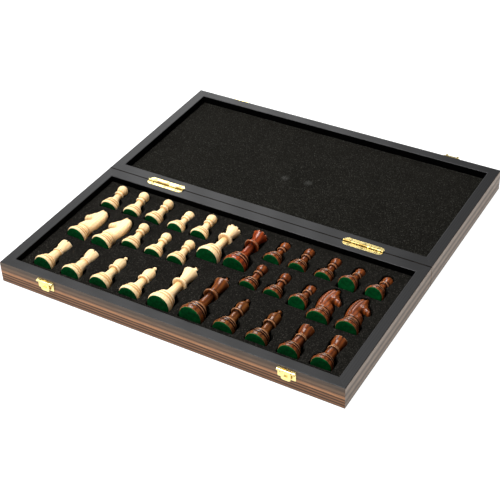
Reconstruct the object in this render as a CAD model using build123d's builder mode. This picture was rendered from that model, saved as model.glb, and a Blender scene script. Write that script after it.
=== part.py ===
from build123d import *
import os
from math import cos, radians, sin, sqrt

# Chess case that folds in two: a tray with a fitted lining and 32 chessmen, and a padded lid.
# Millimetres. It lies open: the origin is on the table under the hinge line, X runs along that line,
# -Y is towards the tray's front and +Y towards the lid's far edge.

# ---- Case ----
case_width = 400.0
half_depth = 200.0
half_height = 25.0
rail_thickness = 12.0
hinge_rail_thickness = 13.5
panel_thickness = 3.0
panel_lap = 6.0
rail_round = 0.8
seam = 0.4
closing_gap = 0.3

# ---- Playing board on the outer faces ----
squares_across = 8
squares_deep = 4
square_width = 0.9 * case_width / squares_across
square_depth = 0.9 * half_depth / squares_deep
veneer_thickness = 0.6

# ---- Linings ----
lining_recess = 7.0
pad_recess = 7.6
lining_gap = 0.2
pad_round = 1.0
seat_gap = 0.4
lining_floor = 1.1

# ---- Hinges ----
hinge_spacing = 0.6135 * case_width
hinge_length = 46.0
leaf_depth = 6.4
leaf_thickness = 0.9
leaf_corner = 4.6
knuckle_radius = 1.6
knuckle_count = 6
knuckle_gap = 0.2
hinge_pin_radius = 0.7
running_fit = 0.05
knuckle_clearance = 0.35
leaf_fit = 0.1

# ---- Latches and catches ----
latch_spacing = 0.7 * case_width
latch_plate_width = 19.5
latch_plate_height = 11.0
latch_plate_drop = 2.0
latch_metal = 0.8
latch_corner = 1.0
latch_barrel_radius = 1.3
latch_barrel_reach = 2.6
latch_pin_radius = 0.55
tongue_width = 10.4
tongue_length = 10.7
tongue_metal = 0.7
tongue_corner = 2.6
tongue_side_gap = 0.25
hook_width = 3.4
hook_height = 1.2
hook_reach = 1.75
catch_height = 9.0
catch_drop = 0.2
catch_gap = 0.2
hook_drop_gap = 0.3
ear_width = 2.2

# ---- Chessmen: sizes along the axis are taken from the felt ----
felt_thickness = 1.0
felt_inset = 1.0
foot_step_share = 0.12
shoulder_hollow = 0.1
collar_step = 1.8
crown_hollow = 0.06
bead_bulge = 0.5

pawn_base = 21.0
pawn_foot = 12.4
pawn_shoulder = 18.0
pawn_stem = 7.8
pawn_neck = 7.4
pawn_collar = 11.0
pawn_collar_at = 22.4
pawn_collar_height = 2.0
pawn_head = 12.0
pawn_height = 37.0

rook_base = 23.4
rook_foot = 13.0
rook_shoulder = 20.0
rook_stem = 11.8
rook_neck = 10.4
rook_collar = 12.8
rook_collar_at = 26.5
rook_collar_height = 2.6
rook_tower = 11.0
rook_top = 15.6
rook_top_at = 36.0
rook_height = 42.5
rook_bore = 9.4
rook_bore_depth = 3.0
rook_slot = 2.0
rook_slot_count = 5

bishop_base = 24.0
bishop_foot = 14.6
bishop_shoulder = 22.0
bishop_stem = 9.4
bishop_neck = 8.6
bishop_collar = 14.2
bishop_collar_at = 28.8
bishop_collar_height = 3.6
bishop_mitre_neck = 9.8
bishop_mitre = 13.2
bishop_mitre_at = 39.6
bishop_finial = 4.6
bishop_height = 52.5
bishop_slit = 1.0
bishop_slit_tilt = 35.0

queen_base = 27.2
queen_foot = 17.0
queen_shoulder = 25.5
queen_stem = 9.2
queen_neck = 8.0
queen_collar = 17.0
queen_collar_at = 38.2
queen_collar_height = 4.6
queen_crown_neck = 9.4
queen_crown = 17.2
queen_crown_at = 57.0
queen_bowl = 2.2
queen_notch = 3.4
queen_notch_count = 9
queen_finial = 5.0
queen_height = 64.0

king_base = 27.2
king_foot = 17.8
king_shoulder = 26.5
king_stem = 9.8
king_neck = 8.8
king_collar = 17.0
king_collar_at = 40.0
king_collar_height = 4.6
king_crown_neck = 10.6
king_crown = 17.2
king_crown_at = 62.0
king_dome = 4.2
king_dome_edge = 0.9
king_cross_neck = 3.2
king_cross_width = 6.6
king_cross_arm = 2.3
king_cross_thickness = 2.6
king_height = 73.5

knight_base = 24.8
knight_foot = 12.0
knight_shoulder = 14.5
knight_ring = 18.6
knight_ring_height = 2.6
knight_groove = 0.9
knight_head_thickness = 13.6
knight_muzzle_width = 6.4
knight_ears_width = 6.0
knight_mane_reach = 11.2
knight_muzzle_reach = 12.4
knight_curve = 1.2
knight_height = 53.0

# ---- Where the chessmen lie ----
# A row is where the upper edges of its feet are, as a share of the half's depth from the hinge line.
# A column is a share of half the case's width from the middle line.
front_row = 0.883
knight_row = 0.604
middle_pawn_row = 0.542
queen_row = 0.441
back_pawn_row = 0.298
king_column = 0.0935
queen_column = 0.0805
rook_columns = [0.6395, 0.8155]
bishop_columns = [0.278, 0.461]
knight_columns = [0.6495, 0.809]
back_pawn_columns = [0.2255, 0.372, 0.5245, 0.6655, 0.8145]
middle_pawn_columns = [0.218, 0.36, 0.5085]

# How each one lies, in degrees: how far its head rides up, and how far it is swung round from straight
king_tilt = -2.5
rook_tilt = -3.0
bishop_tilt = 0.0
light_queen_tilt = -2.0
dark_queen_tilt = 2.3
light_knight_tilt = 2.0
dark_knight_tilt = -1.5
light_knight_swing = -3.0
dark_knight_swing = 1.5
light_pawn_tilts = [6.0, -1.3, 10.0, 10.0, 9.0, 4.4, 4.6, 9.5]
dark_pawn_tilts = [-2.7, 0.8, 0.0, -11.3, -8.6, 4.2, 2.9, -8.4]
light_pawn_swings = [2.0, 0.0, -4.3, 3.8, 2.4, 0.6, 2.8, 1.6]
dark_pawn_swings = [-1.3, 0.0, -1.6, -2.7, -4.1, -1.3, 0.4, -1.2]

# How far each pawn's foot is held up above the others, in millimetres
light_pawn_lifts = [1.2, 0.6, 0.7, 0.3, 0.0, 1.0, 0.2, 0.0]
dark_pawn_lifts = [0.6, 0.7, 0.0, 2.2, 1.1, 0.0, 0.0, 1.5]

# ---- Worked out from the above ----
hinge_axis_height = half_height + closing_gap / 2
lining_top = half_height - lining_recess
latch_axis_drop = latch_plate_drop + latch_barrel_radius
TRAY = -1
LID = 1

os.makedirs("parts", exist_ok=True)


def write(shape, name):
    shape.label = name
    export_step(shape, f"parts/{name}.step")


# ---------------------------------------------------------------- case
def frame_corners(side, inset, hinge_inset):
    """Plan corners of one half, drawn in from its outer faces: hinge left, far left, far right, hinge right."""
    across = case_width / 2 - inset
    near = side * (seam / 2 + hinge_inset)
    far = side * (half_depth - inset)
    return [(-across, near), (-across, far), (across, far), (across, near)]


def panel_rectangle(side):
    """Centre and size of the board panel, which runs under the rails by the lap."""
    inset = rail_thickness - panel_lap
    hinge_inset = hinge_rail_thickness - panel_lap
    corners = frame_corners(side, inset, hinge_inset)
    near = corners[0][1]
    far = corners[1][1]
    return (0, (near + far) / 2), case_width - 2 * inset, abs(far - near)


def make_rail(side, place):
    """One mitred rail, rabbeted below for the panel; place counts round from the left one."""
    outer = frame_corners(side, 0, 0)
    inner = frame_corners(side, rail_thickness, hinge_rail_thickness)
    after = (place + 1) % 4
    centre, width, depth = panel_rectangle(side)
    along = Axis.Y if place % 2 == 0 else Axis.X
    with BuildPart() as rail:
        with BuildSketch():
            Polygon(outer[place], outer[after], inner[after], inner[place], align=None)
        extrude(amount=half_height)
        rim_edges = rail.edges().filter_by(along).group_by(Axis.Z)[-1]
        if place == 3:
            rim_edges = rim_edges.sort_by(Axis.Y, reverse=side == LID)[:1]
        fillet(rim_edges, radius=rail_round)
        with BuildSketch():
            with Locations(centre):
                Rectangle(width, depth)
        extrude(amount=panel_thickness, mode=Mode.SUBTRACT)
        if place == 3:
            with BuildSketch():
                board_field(side)
            extrude(amount=veneer_thickness, mode=Mode.SUBTRACT)
    return rail


def hinge_centres():
    return [-hinge_spacing / 2, hinge_spacing / 2]


def cut_hinge_seats(rail, side):
    """Shallow pockets for the leaves and a round groove for the barrel, in the rail beside the hinge line."""
    with BuildPart() as seated:
        add(rail.part)
        for centre in hinge_centres():
            with BuildSketch(Plane.XY.offset(half_height - leaf_thickness)):
                leaf_shape(centre, side, leaf_fit)
            extrude(amount=leaf_thickness + rail_round, mode=Mode.SUBTRACT)
            with BuildSketch(Plane.YZ.offset(centre - hinge_length / 2 - knuckle_clearance)):
                with Locations((0, hinge_axis_height)):
                    Circle(knuckle_radius + knuckle_clearance)
            extrude(amount=hinge_length + 2 * knuckle_clearance, mode=Mode.SUBTRACT)
    return seated


def make_panel(side):
    """Board panel, recessed below for the veneer squares."""
    centre, width, depth = panel_rectangle(side)
    with BuildPart() as panel:
        with BuildSketch():
            with Locations(centre):
                Rectangle(width, depth)
        extrude(amount=panel_thickness)
        with BuildSketch():
            board_field(side)
        extrude(amount=veneer_thickness, mode=Mode.SUBTRACT)
    return panel


def board_field(side):
    """This half of the playing field, from the hinge line, so that the board runs on across it."""
    with Locations((0, side * (seam / 2 + squares_deep * square_depth / 2))):
        Rectangle(squares_across * square_width, squares_deep * square_depth)


def make_squares(side, dark):
    """Every second square of the field: the dark ones or the light ones."""
    first = 0 if dark else 1
    with BuildPart() as squares:
        for row in range(squares_deep):
            for column in range(squares_across):
                if (row + column + (side == LID)) % 2 == first:
                    x = (column - (squares_across - 1) / 2) * square_width
                    y = side * (seam / 2 + (row + 0.5) * square_depth)
                    with BuildSketch():
                        with Locations((x, y)):
                            Rectangle(square_width, square_depth)
                    extrude(amount=veneer_thickness)
    return squares


# ---------------------------------------------------------------- hinges
def leaf_shape(centre, side, allowance):
    """Plan of one leaf: a strip along the hinge line with its two far corners well rounded."""
    length = hinge_length + 2 * allowance
    depth = leaf_depth + allowance
    with Locations((centre, side * depth / 2)):
        strip = Rectangle(length, depth)
    far_corners = strip.vertices().group_by(Axis.Y)[-1 if side == LID else 0]
    fillet(far_corners, radius=leaf_corner)


def knuckle_spans(centre, first):
    """Start and length along X of every second knuckle."""
    pitch = hinge_length / knuckle_count
    start = centre - hinge_length / 2
    return [(start + pitch * index + knuckle_gap / 2, pitch - knuckle_gap) for index in range(first, knuckle_count, 2)]


def make_leaf(centre, side):
    """Leaf with its knuckles on the hinge axis; the lid's leaf takes the first knuckle from the left."""
    own_first = 0 if side == LID else 1
    with BuildPart() as leaf:
        with BuildSketch(Plane.XY.offset(half_height - leaf_thickness)):
            leaf_shape(centre, side, 0)
        extrude(amount=leaf_thickness)
        for start, length in knuckle_spans(centre, 1 - own_first):
            with BuildSketch(Plane.YZ.offset(start - knuckle_gap)):
                with Locations((0, hinge_axis_height)):
                    Circle(knuckle_radius + knuckle_clearance)
            extrude(amount=length + 2 * knuckle_gap, mode=Mode.SUBTRACT)
        for start, length in knuckle_spans(centre, own_first):
            with BuildSketch(Plane.YZ.offset(start)):
                with Locations((0, hinge_axis_height)):
                    Circle(knuckle_radius)
            extrude(amount=length)
        with BuildSketch(Plane.YZ.offset(centre - hinge_length / 2)):
            with Locations((0, hinge_axis_height)):
                Circle(hinge_pin_radius + running_fit)
        extrude(amount=hinge_length, mode=Mode.SUBTRACT)
    return leaf


def make_hinge_pins():
    with BuildPart() as pins:
        for centre in hinge_centres():
            with BuildSketch(Plane.YZ.offset(centre - hinge_length / 2)):
                with Locations((0, hinge_axis_height)):
                    Circle(hinge_pin_radius)
            extrude(amount=hinge_length)
    return pins


# ---------------------------------------------------------------- latches
def latch_centres():
    return [-latch_spacing / 2, latch_spacing / 2]


def latch_barrel_centre():
    """Barrel axis in the YZ plane, out from the tray's front face and below the rim."""
    return (-half_depth - latch_barrel_reach, half_height - latch_axis_drop)


def make_latch_plates():
    """Plates on the tray's front: the top edge turns out to two knuckles, one each side of the tongue."""
    middle = tongue_width + 2 * tongue_side_gap
    knuckle_length = (latch_plate_width - middle) / 2
    with BuildPart() as plates:
        for centre in latch_centres():
            front = Plane((centre, -half_depth, half_height - latch_plate_drop), x_dir=(1, 0, 0), z_dir=(0, -1, 0))
            with BuildSketch(front):
                with Locations((0, -latch_plate_height / 2)):
                    outline = Rectangle(latch_plate_width, latch_plate_height)
                fillet(outline.vertices().group_by(Axis.Y)[0], radius=latch_corner)
            extrude(amount=latch_metal)
            for start in (centre - latch_plate_width / 2, centre + middle / 2):
                with BuildSketch(Plane.YZ.offset(start)):
                    with Locations((-half_depth - latch_barrel_reach / 2, half_height - latch_plate_drop)):
                        Rectangle(latch_barrel_reach, latch_metal, align=(Align.CENTER, Align.MAX))
                    with Locations(latch_barrel_centre()):
                        Circle(latch_barrel_radius)
                        Circle(latch_pin_radius + running_fit, mode=Mode.SUBTRACT)
                extrude(amount=knuckle_length)
    return plates


def make_latch_axles():
    with BuildPart() as axles:
        for centre in latch_centres():
            with BuildSketch(Plane.YZ.offset(centre - latch_plate_width / 2)):
                with Locations(latch_barrel_centre()):
                    Circle(latch_pin_radius)
            extrude(amount=latch_plate_width)
    return axles


def hook_start():
    """Distance of the hook from the barrel axis: just past the catch's lip when the case is shut."""
    lip_top = closing_gap + catch_drop + latch_metal
    return lip_top + hook_drop_gap + latch_axis_drop


def make_tongue(centre):
    """Flat tongue that hangs from its knuckle, with a hook lanced out of its outer side."""
    y, z = latch_barrel_centre()
    hanging = Plane((centre, y, z), x_dir=(1, 0, 0), z_dir=(0, -1, 0))
    with BuildPart() as tongue:
        with BuildSketch(hanging.offset(-tongue_metal / 2)):
            with Locations((0, -tongue_length / 2)):
                blade = Rectangle(tongue_width, tongue_length)
            fillet(blade.vertices().group_by(Axis.Y)[0], radius=tongue_corner)
        extrude(amount=tongue_metal)
        with BuildSketch(Plane.YZ.offset(centre - tongue_width / 2)):
            with Locations((y, z)):
                Circle(latch_barrel_radius)
        extrude(amount=tongue_width)
        with BuildSketch(Plane.YZ.offset(centre - hook_width / 2)):
            with BuildLine():
                Polyline(
                    (y, z - hook_start()),
                    (y - hook_reach, z - hook_start()),
                    (y - hook_reach, z - hook_start() - tongue_metal),
                    (y, z - hook_start() - hook_height * 2),
                    close=True,
                )
            make_face()
        extrude(amount=hook_width)
        with BuildSketch(Plane.YZ.offset(centre - tongue_width / 2)):
            with Locations((y, z)):
                Circle(latch_pin_radius + running_fit)
        extrude(amount=tongue_width, mode=Mode.SUBTRACT)
    return tongue


def make_catches():
    """Catch plates on the lid's far face: a lip at the rim for the hook, between two ears that guide the tongue."""
    lip_width = tongue_width + 2 * tongue_side_gap
    lip_reach = latch_barrel_reach - tongue_metal / 2 - catch_gap
    ear_reach = latch_barrel_reach + hook_reach
    with BuildPart() as catches:
        for centre in latch_centres():
            top = half_height - catch_drop
            back = Plane((centre, half_depth, top), x_dir=(1, 0, 0), z_dir=(0, -1, 0))
            with BuildSketch(back):
                with Locations((0, -catch_height / 2)):
                    outline = Rectangle(latch_plate_width, catch_height)
                fillet(outline.vertices().group_by(Axis.Y)[0], radius=latch_corner)
            extrude(amount=-latch_metal)
            with BuildSketch(Plane.XY.offset(top)):
                with Locations((centre, half_depth)):
                    Rectangle(lip_width + 2 * ear_width, ear_reach, align=(Align.CENTER, Align.MIN))
                with Locations((centre, half_depth + lip_reach)):
                    Rectangle(lip_width, ear_reach, align=(Align.CENTER, Align.MIN), mode=Mode.SUBTRACT)
            extrude(amount=-latch_metal)
    return catches


# ---------------------------------------------------------------- chessmen
def draw_outline(points):
    """Half section through the points (radius, height); a third number bulges the stretch before it outwards."""
    for start, end in zip(points, points[1:]):
        if len(end) == 3:
            SagittaArc(start[:2], end[:2], -end[2])
        else:
            Line(start[:2], end)
    Line(points[-1][:2], points[0][:2])


def ball_bulge(radius, start, end):
    """Bulge of the arc of a ball of this radius between two points of its outline."""
    chord = sqrt((end[0] - start[0]) ** 2 + (end[1] - start[1]) ** 2)
    return radius - sqrt(radius ** 2 - chord ** 2 / 4)


def foot_outline(base, foot, shoulder, stem):
    """Foot of three beads, each set in from the one below, then a hollow shoulder that runs up into the stem."""
    edge = base / 2 - bead_bulge
    step = base / 2 * foot_step_share
    bead = (foot - felt_thickness) / 3
    last = edge - 2 * step
    return [
        (0, felt_thickness),
        (edge, felt_thickness),
        (edge, felt_thickness + bead, bead_bulge),
        (edge - step, felt_thickness + bead),
        (edge - step, felt_thickness + 2 * bead, bead_bulge),
        (last, felt_thickness + 2 * bead),
        (last, foot, bead_bulge),
        (last - bead_bulge, foot),
        (stem / 2, shoulder, -(shoulder - foot) * shoulder_hollow),
    ]


def collar_outline(collar, collar_at, collar_height, neck):
    """Flange and a smaller bead above it, down to the neck."""
    flange = collar_height * 0.45
    bead = collar / 2 - collar_step - bead_bulge
    return [
        (collar / 2 - bead_bulge, collar_at),
        (collar / 2 - bead_bulge, collar_at + flange, bead_bulge),
        (bead, collar_at + flange),
        (bead, collar_at + collar_height, bead_bulge),
        (neck / 2, collar_at + collar_height),
    ]


def pawn_outline():
    head = pawn_head / 2
    neck_at = pawn_height - head - sqrt(head ** 2 - (pawn_neck / 2) ** 2)
    neck = (pawn_neck / 2, neck_at)
    top = (0, pawn_height)
    return foot_outline(pawn_base, pawn_foot, pawn_shoulder, pawn_stem) + [
        (pawn_neck / 2, pawn_collar_at),
        (pawn_collar / 2 - bead_bulge, pawn_collar_at),
        (pawn_collar / 2 - bead_bulge, pawn_collar_at + pawn_collar_height, bead_bulge),
        neck,
        (*top, ball_bulge(head, neck, top)),
    ]


def rook_outline():
    return foot_outline(rook_base, rook_foot, rook_shoulder, rook_stem) + [
        (rook_neck / 2, rook_collar_at),
        *collar_outline(rook_collar, rook_collar_at, rook_collar_height, rook_tower),
        (rook_top / 2 - bead_bulge, rook_top_at, -bead_bulge),
        (rook_top / 2, rook_height),
        (rook_bore / 2, rook_height),
        (rook_bore / 2, rook_height - rook_bore_depth),
        (0, rook_height - rook_bore_depth),
    ]


def bishop_outline():
    finial = bishop_finial / 2
    tip_at = bishop_height - bishop_finial * 0.9
    waist = (finial * 0.6, tip_at)
    top = (0, bishop_height)
    return foot_outline(bishop_base, bishop_foot, bishop_shoulder, bishop_stem) + [
        (bishop_neck / 2, bishop_collar_at),
        *collar_outline(bishop_collar, bishop_collar_at, bishop_collar_height, bishop_mitre_neck),
        (bishop_mitre / 2, bishop_mitre_at, bead_bulge),
        (*waist, 2 * bead_bulge),
        (*top, ball_bulge(finial, waist, top)),
    ]


def queen_outline():
    finial = queen_finial / 2
    ball_at = queen_height - queen_finial * 0.9
    waist = (finial * 0.6, ball_at)
    top = (0, queen_height)
    rise = queen_crown_at - queen_collar_at - queen_collar_height
    return foot_outline(queen_base, queen_foot, queen_shoulder, queen_stem) + [
        (queen_neck / 2, queen_collar_at),
        *collar_outline(queen_collar, queen_collar_at, queen_collar_height, queen_crown_neck),
        (queen_crown / 2, queen_crown_at, -rise * crown_hollow),
        (queen_crown / 2 - queen_bowl / 2, queen_crown_at + queen_bowl / 2, bead_bulge / 2),
        (queen_crown / 2 - queen_bowl, queen_crown_at - queen_bowl / 4),
        (*waist, bead_bulge),
        (*top, ball_bulge(finial, waist, top)),
    ]


def king_outline():
    rise = king_crown_at - king_collar_at - king_collar_height
    return foot_outline(king_base, king_foot, king_shoulder, king_stem) + [
        (king_neck / 2, king_collar_at),
        *collar_outline(king_collar, king_collar_at, king_collar_height, king_crown_neck),
        (king_crown / 2, king_crown_at, -rise * crown_hollow),
        (king_crown / 2 - king_dome_edge, king_crown_at + king_dome_edge, bead_bulge / 2),
        (king_cross_neck / 2, king_crown_at + king_dome, king_dome_edge),
        (0, king_crown_at + king_dome),
    ]


def knight_outline():
    ring = knight_ring / 2 - bead_bulge
    ring_top = knight_shoulder + knight_ring_height
    return foot_outline(knight_base, knight_foot, knight_shoulder, knight_ring - 2 * knight_groove) + [
        (ring, knight_shoulder),
        (ring, ring_top, bead_bulge),
        (0, ring_top),
    ]


def draw_knight_head():
    """Horse's head in profile: mane, ears, brow, muzzle, throat and chest, in a plane through the axis."""
    bottom = knight_shoulder + knight_ring_height / 2
    chest = knight_ring / 2 - knight_groove
    nape = (-knight_mane_reach, knight_height * 0.66)
    poll = (-knight_mane_reach * 0.3, knight_height)
    ear = (knight_muzzle_reach * 0.2, knight_height)
    stop = (knight_muzzle_reach * 0.36, knight_height * 0.86)
    nose = (knight_muzzle_reach, knight_height * 0.68)
    chin = (knight_muzzle_reach * 0.82, knight_height * 0.55)
    throat = (knight_muzzle_reach * 0.24, knight_height * 0.6)
    Polyline((chest, bottom), (-chest, bottom))
    SagittaArc((-chest, bottom), nape, knight_curve)
    SagittaArc(nape, poll, 2 * knight_curve)
    Polyline(poll, ear, stop)
    SagittaArc(stop, nose, knight_curve / 2)
    SagittaArc(nose, chin, knight_curve)
    SagittaArc(chin, throat, -knight_curve / 2)
    SagittaArc(throat, (chest, bottom), 2 * knight_curve)


def turn(plane, points, felted_base):
    """Revolves an outline about the plane's Y axis and adds the felt disc as a second solid."""
    axis = Axis(plane.origin, plane.y_dir)
    with BuildPart() as wood:
        with BuildSketch(plane):
            with BuildLine():
                draw_outline(points)
            make_face()
        revolve(axis=axis)
    with BuildPart() as felt:
        with BuildSketch(Plane(plane.origin, x_dir=plane.x_dir, z_dir=plane.y_dir)):
            Circle(felted_base / 2 - felt_inset)
        extrude(amount=felt_thickness)
    return wood, felt


def end_plane(plane, height):
    """Plane across a chessman's axis at a height above its felt."""
    return Plane(plane.origin + plane.y_dir * height, x_dir=plane.x_dir, z_dir=plane.y_dir)


def make_pawn(plane):
    wood, felt = turn(plane, pawn_outline(), pawn_base)
    return [wood.part, felt.part]


def make_rook(plane):
    blank, felt = turn(plane, rook_outline(), rook_base)
    with BuildPart() as wood:
        add(blank.part)
        with BuildSketch(end_plane(plane, rook_height)):
            with PolarLocations(0, rook_slot_count):
                Rectangle(rook_top, rook_slot, align=(Align.MIN, Align.CENTER))
            Circle(rook_bore / 2 - rook_slot / 2, mode=Mode.SUBTRACT)
        extrude(amount=-rook_bore_depth * 0.8, mode=Mode.SUBTRACT)
    return [wood.part, felt.part]


def make_bishop(plane):
    """The mitre's slit is sawn in from the upper side, slanting towards the foot."""
    blank, felt = turn(plane, bishop_outline(), bishop_base)
    lean = radians(bishop_slit_tilt)
    middle = plane.origin + plane.y_dir * (bishop_mitre_at + bishop_mitre / 8)
    saw = Plane(middle, x_dir=plane.x_dir, z_dir=plane.z_dir * sin(lean) - plane.y_dir * cos(lean))
    with BuildPart() as wood:
        add(blank.part)
        with BuildSketch(saw.offset(-bishop_slit / 2)):
            Rectangle(bishop_mitre * 1.5, bishop_mitre, align=(Align.CENTER, Align.MIN))
        extrude(amount=bishop_slit, mode=Mode.SUBTRACT)
    return [wood.part, felt.part]


def make_queen(plane):
    blank, felt = turn(plane, queen_outline(), queen_base)
    with BuildPart() as wood:
        add(blank.part)
        with BuildSketch(end_plane(plane, queen_crown_at + queen_bowl)):
            with PolarLocations(queen_crown / 2, queen_notch_count):
                Circle(queen_notch / 2)
        extrude(amount=-queen_bowl * 2, mode=Mode.SUBTRACT)
    return [wood.part, felt.part]


def make_king(plane):
    blank, felt = turn(plane, king_outline(), king_base)
    cross_from = king_crown_at + king_dome - bead_bulge
    arm_at = (cross_from + king_height) / 2 + bead_bulge
    with BuildPart() as wood:
        add(blank.part)
        with BuildSketch(plane.offset(-king_cross_thickness / 2)):
            with Locations((0, (cross_from + king_height) / 2)):
                Rectangle(king_cross_arm, king_height - cross_from)
            with Locations((0, arm_at)):
                Rectangle(king_cross_width, king_cross_arm)
        extrude(amount=king_cross_thickness)
    return [wood.part, felt.part]


def make_knight(plane):
    """Turned foot and ring with a carved head: the profile, thinned to muzzle and mane, and from neck to ears."""
    blank, felt = turn(plane, knight_outline(), knight_base)
    neck = knight_head_thickness / 2
    ears = knight_ears_width / 2
    front = Plane(plane.origin, x_dir=plane.z_dir, z_dir=-plane.x_dir)
    with BuildPart() as wood:
        with BuildSketch(plane):
            with BuildLine():
                draw_knight_head()
            make_face()
        extrude(amount=neck, both=True)
        with BuildSketch(end_plane(plane, 0)):
            Ellipse(knight_muzzle_reach + knight_muzzle_width / 4, neck)
        extrude(amount=knight_height, mode=Mode.INTERSECT)
        with BuildSketch(front):
            with BuildLine():
                Line((-neck, knight_shoulder), (neck, knight_shoulder))
                SagittaArc((neck, knight_shoulder), (ears, knight_height), -knight_curve)
                Line((ears, knight_height), (-ears, knight_height))
                SagittaArc((-ears, knight_height), (-neck, knight_shoulder), -knight_curve)
            make_face()
        extrude(amount=knight_base, both=True, mode=Mode.INTERSECT)
        add(blank.part)
    return [wood.part, felt.part]


MAKERS = {
    "pawn": make_pawn,
    "rook": make_rook,
    "bishop": make_bishop,
    "queen": make_queen,
    "king": make_king,
    "knight": make_knight,
}


# ---------------------------------------------------------------- where the chessmen lie
class Seat:
    """One chessman's place in the tray: its kind, and the plane through its axis, with Y from felt to head."""

    def __init__(self, name, kind, column, row, tilt, swing=0.0, lift=0.0):
        self.name = name
        self.kind = kind
        self.tilt = radians(tilt)
        self.foot_radius = BASES[kind] / 2
        swung = radians(swing)
        sunk = FEET[kind] * sin(max(-self.tilt, 0))
        self.lowest = panel_thickness + lining_floor + seat_gap + lift
        height = self.lowest + self.foot_radius * cos(self.tilt) + sunk
        self.centre = (column * case_width / 2, -row * half_depth + self.foot_radius * sin(self.tilt), height)
        self.across = Vector(cos(swung), sin(swung), 0)
        axis = Vector(-sin(swung) * cos(self.tilt), cos(swung) * cos(self.tilt), sin(self.tilt))
        self.upward = self.across.cross(axis)
        facing = -1 if kind == "knight" and column < 0 else 1
        self.plane = Plane(self.centre, x_dir=self.across * facing, z_dir=self.upward * facing)


BASES = {
    "pawn": pawn_base,
    "rook": rook_base,
    "bishop": bishop_base,
    "queen": queen_base,
    "king": king_base,
    "knight": knight_base,
}
FEET = {
    "pawn": pawn_foot,
    "rook": rook_foot,
    "bishop": bishop_foot,
    "queen": queen_foot,
    "king": king_foot,
    "knight": knight_foot,
}


def seats_of(colour, side, queen_tilt, knight_lie, pawn_lies):
    """Seats of one colour's sixteen men; side is -1 for the left half of the tray and 1 for the right."""
    seats = [
        Seat(f"{colour}_king", "king", side * king_column, front_row, king_tilt),
        Seat(f"{colour}_queen", "queen", side * queen_column, queen_row, queen_tilt),
    ]
    for index, column in enumerate(rook_columns):
        seats.append(Seat(f"{colour}_rook_{index + 1}", "rook", side * column, front_row, rook_tilt))
    for index, column in enumerate(bishop_columns):
        seats.append(Seat(f"{colour}_bishop_{index + 1}", "bishop", side * column, front_row, bishop_tilt))
    for index, column in enumerate(knight_columns):
        seats.append(Seat(f"{colour}_knight_{index + 1}", "knight", side * column, knight_row, *knight_lie))
    places = [(column, back_pawn_row) for column in back_pawn_columns]
    places += [(column, middle_pawn_row) for column in middle_pawn_columns]
    for index, ((column, row), lie) in enumerate(zip(places, pawn_lies)):
        seats.append(Seat(f"{colour}_pawn_{index + 1}", "pawn", side * column, row, *lie))
    return seats


def seat_plan(kind):
    """Plan of a chessman for its seat: (radius, height) from the foot up, the radius that it lies on, the end round."""
    if kind == "pawn":
        head = pawn_head / 2
        plan = [(pawn_base / 2, pawn_foot), (pawn_stem / 2, pawn_shoulder), (pawn_collar / 2, pawn_collar_at)]
        return plan + [(head, pawn_height - head), (head, pawn_height)], head, head
    if kind == "rook":
        plan = [(rook_base / 2, rook_foot), (rook_stem / 2, rook_shoulder), (rook_collar / 2, rook_collar_at)]
        return plan + [(rook_top / 2, rook_top_at), (rook_top / 2, rook_height)], rook_top / 2, seat_gap
    if kind == "bishop":
        collar_top = bishop_collar_at + bishop_collar_height
        plan = [(bishop_base / 2, bishop_foot), (bishop_stem / 2, bishop_shoulder)]
        plan += [(bishop_collar / 2, bishop_collar_at), (bishop_collar / 2, collar_top)]
        plan += [(bishop_mitre / 2 + bead_bulge, bishop_mitre_at), (bishop_finial / 2, bishop_height)]
        return plan, bishop_collar / 2, bishop_finial / 2
    if kind == "queen":
        collar_top = queen_collar_at + queen_collar_height
        plan = [(queen_base / 2, queen_foot), (queen_stem / 2, queen_shoulder)]
        plan += [(queen_collar / 2, queen_collar_at), (queen_collar / 2, collar_top)]
        plan += [(queen_crown / 2, queen_crown_at), (queen_crown / 2, queen_crown_at + queen_bowl)]
        return plan + [(queen_finial / 2, queen_height)], queen_crown / 2, queen_finial / 2
    if kind == "king":
        collar_top = king_collar_at + king_collar_height
        plan = [(king_base / 2, king_foot), (king_stem / 2, king_shoulder)]
        plan += [(king_collar / 2, king_collar_at), (king_collar / 2, collar_top)]
        plan += [(king_crown / 2, king_crown_at), (king_crown / 2, king_crown_at + king_dome / 2)]
        plan += [(king_cross_width / 2, king_crown_at + king_dome + bead_bulge)]
        return plan + [(king_cross_width / 2, king_height)], king_crown / 2, seat_gap
    ring_top = knight_shoulder + knight_ring_height
    plan = [(knight_base / 2, knight_foot), (knight_ring / 2, knight_shoulder), (knight_ring / 2, ring_top)]
    return plan, knight_ring / 2, 0


def draw_plan(points, start, end, end_round):
    """Both sides of a seat's plan, widened by the gap, from a start height to an end height."""
    right = [(points[0][0] + seat_gap, start)]
    right += [(radius + seat_gap, height) for radius, height in points[:-1]]
    right += [(points[-1][0] + seat_gap, end)]
    left = [(-radius, height) for radius, height in reversed(right)]
    outline = Polygon(*right, *left, align=None)
    if end_round:
        fillet(outline.vertices().group_by(Axis.Y)[-1], radius=end_round)


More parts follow.
